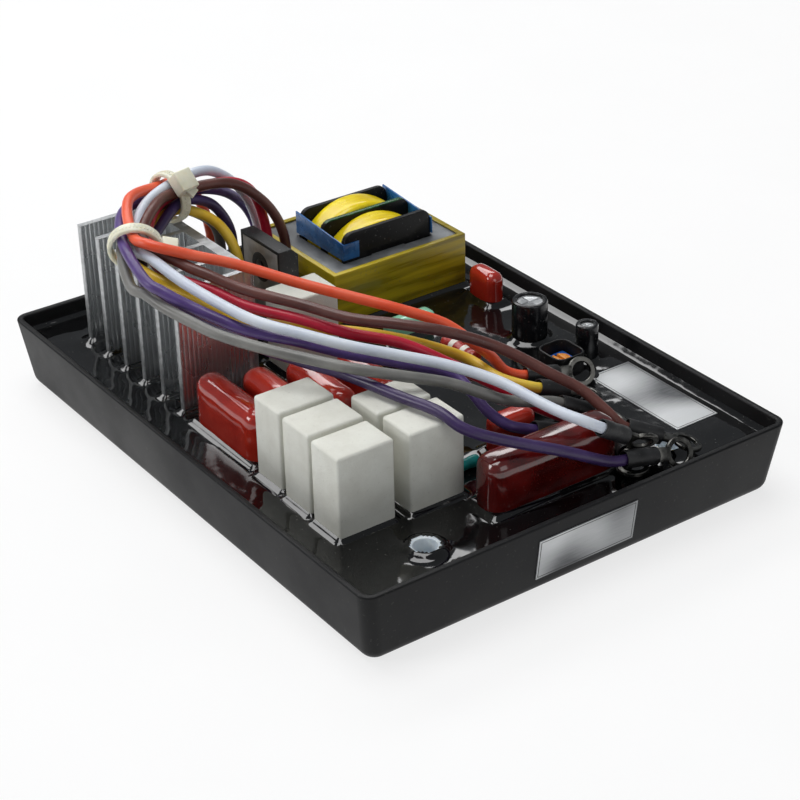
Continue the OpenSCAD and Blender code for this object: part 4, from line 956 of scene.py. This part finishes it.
# %% Axial parts
BAND_MIDDLE, BAND_HALF = 1.9, 0.8
for name, (x, y), long, r, turned, finish, slot in (
        ("axial_red", (2, 20), 11, 1.9, 0, red_lacquer, "red_dip"),
        ("axial_teal", (40, -7.7), 7, 1.3, 90, teal_lacquer, "teal_coat")):
    bm = bmesh.new()
    z = RESIN_TOP + 0.1 + r
    lie = upright(x, y, z) @ Matrix.Rotation(math.radians(turned), 4, "Z") @ ALONG
    end = long / 2
    cap = [(0, end), (r * 0.55, end), (r * 0.9, end - 0.25), (r, end - 0.8), (r * 0.98, end - 2),
           (r * 0.9, end - 2.6)]
    lathe(bm, [(radius, -height) for radius, height in cap] + cap[::-1], lie, 36)
    for side in (-1, 1):
        start, reach = side * end * 0.98, side * (end + 1.2)
        lathe(bm, [(0, start), (0.4, start), (0.4, reach), (0, reach + side * 0.4)], lie, 16, 1)
        foot = lie @ Vector((0, 0, reach * MM))
        lathe(bm, [(0, 0), (0.38, 0), (0.38, z - RESIN_TOP + 0.2), (0, z - RESIN_TOP + 0.4)],
              upright(foot.x / MM, foot.y / MM, RESIN_TOP - 0.2), 16, 1)
    if name == "axial_red":
        for middle in (-BAND_MIDDLE, BAND_MIDDLE):
            near, far = middle - BAND_HALF, middle + BAND_HALF
            lathe(bm, [(r * 0.8, near), (r * 0.93, near + 0.1), (r * 0.93, far - 0.1), (r * 0.8, far),
                       (r * 0.8, near)], lie, 36, 2)
    settle(name + "_part", bm, [finish, tinned, pale_lacquer], [name])

# %% Electrolytic capacitors
# Drawn aluminium can: pale and satin
can_metal = coating("drawn_aluminium", "B6B8BA", "DCDEDF", patch=3, fine=0.2, rough=(0.3, 0.45), depth=0.01,
                    metal=0.6)
# Shrunk PVC sleeve: tight and glossy, so it carries sharp upright highlights
can_sleeve = coating("shrunk_pvc", "0C0D0F", "17181B", patch=5, fine=0.5, rough=(0.14, 0.24), depth=0.02,
                     dusty=0.2)
for name, ((x, y), r, tall) in CANS.items():
    bm = bmesh.new()
    lathe(bm, [(r - 0.4, 0), (r, 0), (r, 2.2), (r - 0.25, 2.6), (r - 0.25, 3.0), (r, 3.4), (r, tall - 0.5),
               (r - 0.15, tall - 0.15), (r - 0.5, tall), (r - 1.0, tall - 0.02), (r - 1.1, tall - 0.2),
               (r - 1.1, tall - 0.5), (r - 0.4, tall - 0.5), (r - 0.4, 0)], upright(x, y, BOARD_TOP), 48)
    settle(name + "_can_sleeve", bm, [can_sleeve], [name + "_electrolytic_sleeve"])
    softened(name + "_vented_can", [name + "_electrolytic"], [can_metal], 0.1)

# %% [markdown]
# ## Trimmer
# A small blue trimmer stands in a black collar that keeps the resin out, so that a screwdriver can
# still turn its orange rotor. The rotor is its own body and turns about its middle. Modelled afresh,
# its slot could drift off that middle, so all three are rounded copies of their solids.

# %% Trimmer
# Moulded polyester: a clean blue with a mild shine
blue_moulding = coating("moulded_polyester", "14489A", "2263BE", patch=3, fine=0.3, rough=(0.25, 0.4),
                        depth=0.01)
# Acetal: waxy and a little dull
rotor_plastic = coating("orange_acetal", "CF7A1E", "EA9C36", patch=2, fine=0.3, rough=(0.35, 0.5), depth=0.02)
softened("trimmer_fence", ["trimmer_collar"], [bobbin_plastic], 0.15)
softened("trimmer_case", ["trimmer_body"], [blue_moulding], 0.15)
softened("slotted_rotor", ["trimmer_rotor"], [rotor_plastic], 0.12, "rotor")

# %% [markdown]
# ## Labels
# Two bare foil labels, one on the resin and one on the end wall. Each carries only a thin dark
# line round its edge: the face is inset twice and the narrow ring between gets the dark finish.

# %% Label finishes
# Brushed aluminium foil: broad light and dark patches are a painted reflection, and hairlines drawn as coarse
# as they need to show
foil, tree = new_finish("brushed_aluminium_foil")
place = add(tree, "TexCoord").outputs["Object"]
drawn = add(tree, "Mapping", {"Scale": (1, 1 / 10, 1)}, {"Vector": place})
painted_reflection_patches = add(tree, "TexNoise", {"Scale": 1 / (18 * MM), "Detail": 0.5, "Roughness": 0.55}, {"Vector": place})
brushed = add(tree, "TexNoise", {"Scale": 1 / (0.4 * MM), "Detail": 3.0, "Roughness": 0.55},
              {"Vector": drawn})
# Painted reflection: the broad patches turn the foil from light grey to dark grey as if it mirrored its
# surroundings
share = add(tree, "MapRange", {"From Min": 0.34, "From Max": 0.56}, {"Value": painted_reflection_patches})
colour = add(tree, "Mix", {6: linear("C4C6C7"), 7: linear("4A4C4F")}, {0: share}, data_type="RGBA").outputs[2]
hairs = add(tree, "MapRange", {**MIDDLE, "To Max": 0.05}, {"Value": brushed})
lined = add(tree, "Mix", {7: linear("FFFFFF")}, {0: hairs, 6: colour}, data_type="RGBA").outputs[2]
satin = add(tree, "MapRange", {**MIDDLE, "To Min": 0.28, "To Max": 0.4}, {"Value": painted_reflection_patches})
relief = add(tree, "Bump", {"Distance": 0.004 * MM, "Strength": 1.0}, {"Height": brushed})
shader = add(tree, "BsdfPrincipled", {"Metallic": 0.5},
             {"Base Color": lined, "Roughness": satin, "Normal": relief})
add(tree, "OutputMaterial", links={"Surface": shader})
# Printing ink: flat and dark
line_print = coating("printing_ink", "2A2A2B", "3A3A3B", patch=2, fine=0.3, rough=(0.4, 0.5), depth=0.005)

# %% Labels
for node in ("label_top", "label_front"):
    bm = bmesh.new()
    bm.from_mesh(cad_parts[node].data)
    bmesh.ops.remove_doubles(bm, verts=bm.verts, dist=2e-6)
    bmesh.ops.dissolve_limit(bm, angle_limit=math.radians(1), verts=bm.verts, edges=bm.edges)
    for face in bm.faces:
        face.material_index = 0
    bm.normal_update()
    outward = Vector((0, 0, 1)) if node == "label_top" else Vector((1, 0, 0))
    face = max(bm.faces, key=lambda f: f.normal.dot(outward))
    bmesh.ops.inset_region(bm, faces=[face], thickness=0.5 * MM)
    ring = bmesh.ops.inset_region(bm, faces=[face], thickness=0.28 * MM)
    for f in ring["faces"]:
        f.material_index = 1
    settle("bare_" + node, bm, [foil, line_print], [node])

# %% [markdown]
# ## Floor and light
# The object stands on plain white paper. A large soft lamp overhead, two weaker ones at the sides
# and a long one behind give the level of a light table, and a dim world keeps the glossy resin dark.
# The paper glows for the camera and in mirror images, so it stays white and still keeps a shadow.

# %% Paper
PAPER_GLOW = 0.75
# Matt paper: even white without a highlight
paper, tree = new_finish("matt_white_paper")
place = add(tree, "TexCoord").outputs["Object"]
tone = add(tree, "TexNoise", {"Scale": 1 / (40 * MM), "Detail": 4.0, "Roughness": 0.55}, {"Vector": place})
share = add(tree, "MapRange", MIDDLE, {"Value": tone})
colour = add(tree, "Mix", {6: linear("F4F4F4"), 7: linear("F8F8F8")}, {0: share}, data_type="RGBA").outputs[2]
shader = add(tree, "BsdfPrincipled", {"Roughness": 0.9, "Specular IOR Level": 0.1}, {"Base Color": colour})
path = add(tree, "LightPath").outputs
seen = add(tree, "Math", links={0: path["Is Camera Ray"], 1: path["Is Glossy Ray"]}, operation="MAXIMUM")
seen = add(tree, "Math", links={0: seen, 1: path["Is Transmission Ray"]}, operation="MAXIMUM")
share = add(tree, "Math", {1: PAPER_GLOW}, {0: seen}, operation="MULTIPLY")
lit = add(tree, "Emission", {"Color": (1, 1, 1, 1), "Strength": 1.0})
mixed = add(tree, "MixShader", links={0: share, 1: shader, 2: lit})
add(tree, "OutputMaterial", links={"Surface": mixed})

# %% Floor
bm = bmesh.new()
bmesh.ops.create_grid(bm, x_segments=8, y_segments=8, size=6)
mesh = bpy.data.meshes.new("floor")
bm.to_mesh(mesh)
bm.free()
mesh.materials.append(paper)
floor = bpy.data.objects.new("floor", mesh)
scene.collection.objects.link(floor)
floor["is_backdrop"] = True
print("floor", len(mesh.polygons), "faces")

# %% Lamps
AIM = Vector((0, 0, 0.02))


def lamp(name, place, size, power):
    """A soft rectangular lamp aimed at the object; metres and watts."""
    light = bpy.data.lights.new(name, "AREA")
    light.shape = "RECTANGLE"
    light.size, light.size_y = size
    light.energy = power
    holder = bpy.data.objects.new(name, light)
    scene.collection.objects.link(holder)
    holder.location = place
    holder.rotation_euler = (AIM - Vector(place)).to_track_quat("-Z", "Y").to_euler()
    print("lamp", name, power, "W")


lamp("overhead", (-0.12, -0.06, 0.9), (0.55, 0.55), 4.3)
lamp("left_side", (-0.35, -0.9, 0.5), (0.4, 0.35), 3.0)
lamp("right_side", (0.9, 0.1, 0.45), (0.5, 0.5), 1.0)
lamp("behind", (-0.66, 0.12, 0.66), (1.1, 0.22), 3.2)
world = bpy.data.worlds.new("studio")
scene.world = world
world.use_nodes = True
world.node_tree.nodes["Background"].inputs["Color"].default_value = (0.9, 0.95, 1.0, 1)
world.node_tree.nodes["Background"].inputs["Strength"].default_value = 0.2
scene.view_settings.view_transform = "Standard"

# %% [markdown]
# ## Sizes and the end
# The box of the dressed object is printed at the end, in millimetres.

low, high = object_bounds()
print("dressed box in mm:", [round(1000 * x, 1) for x in (*low, *high)])
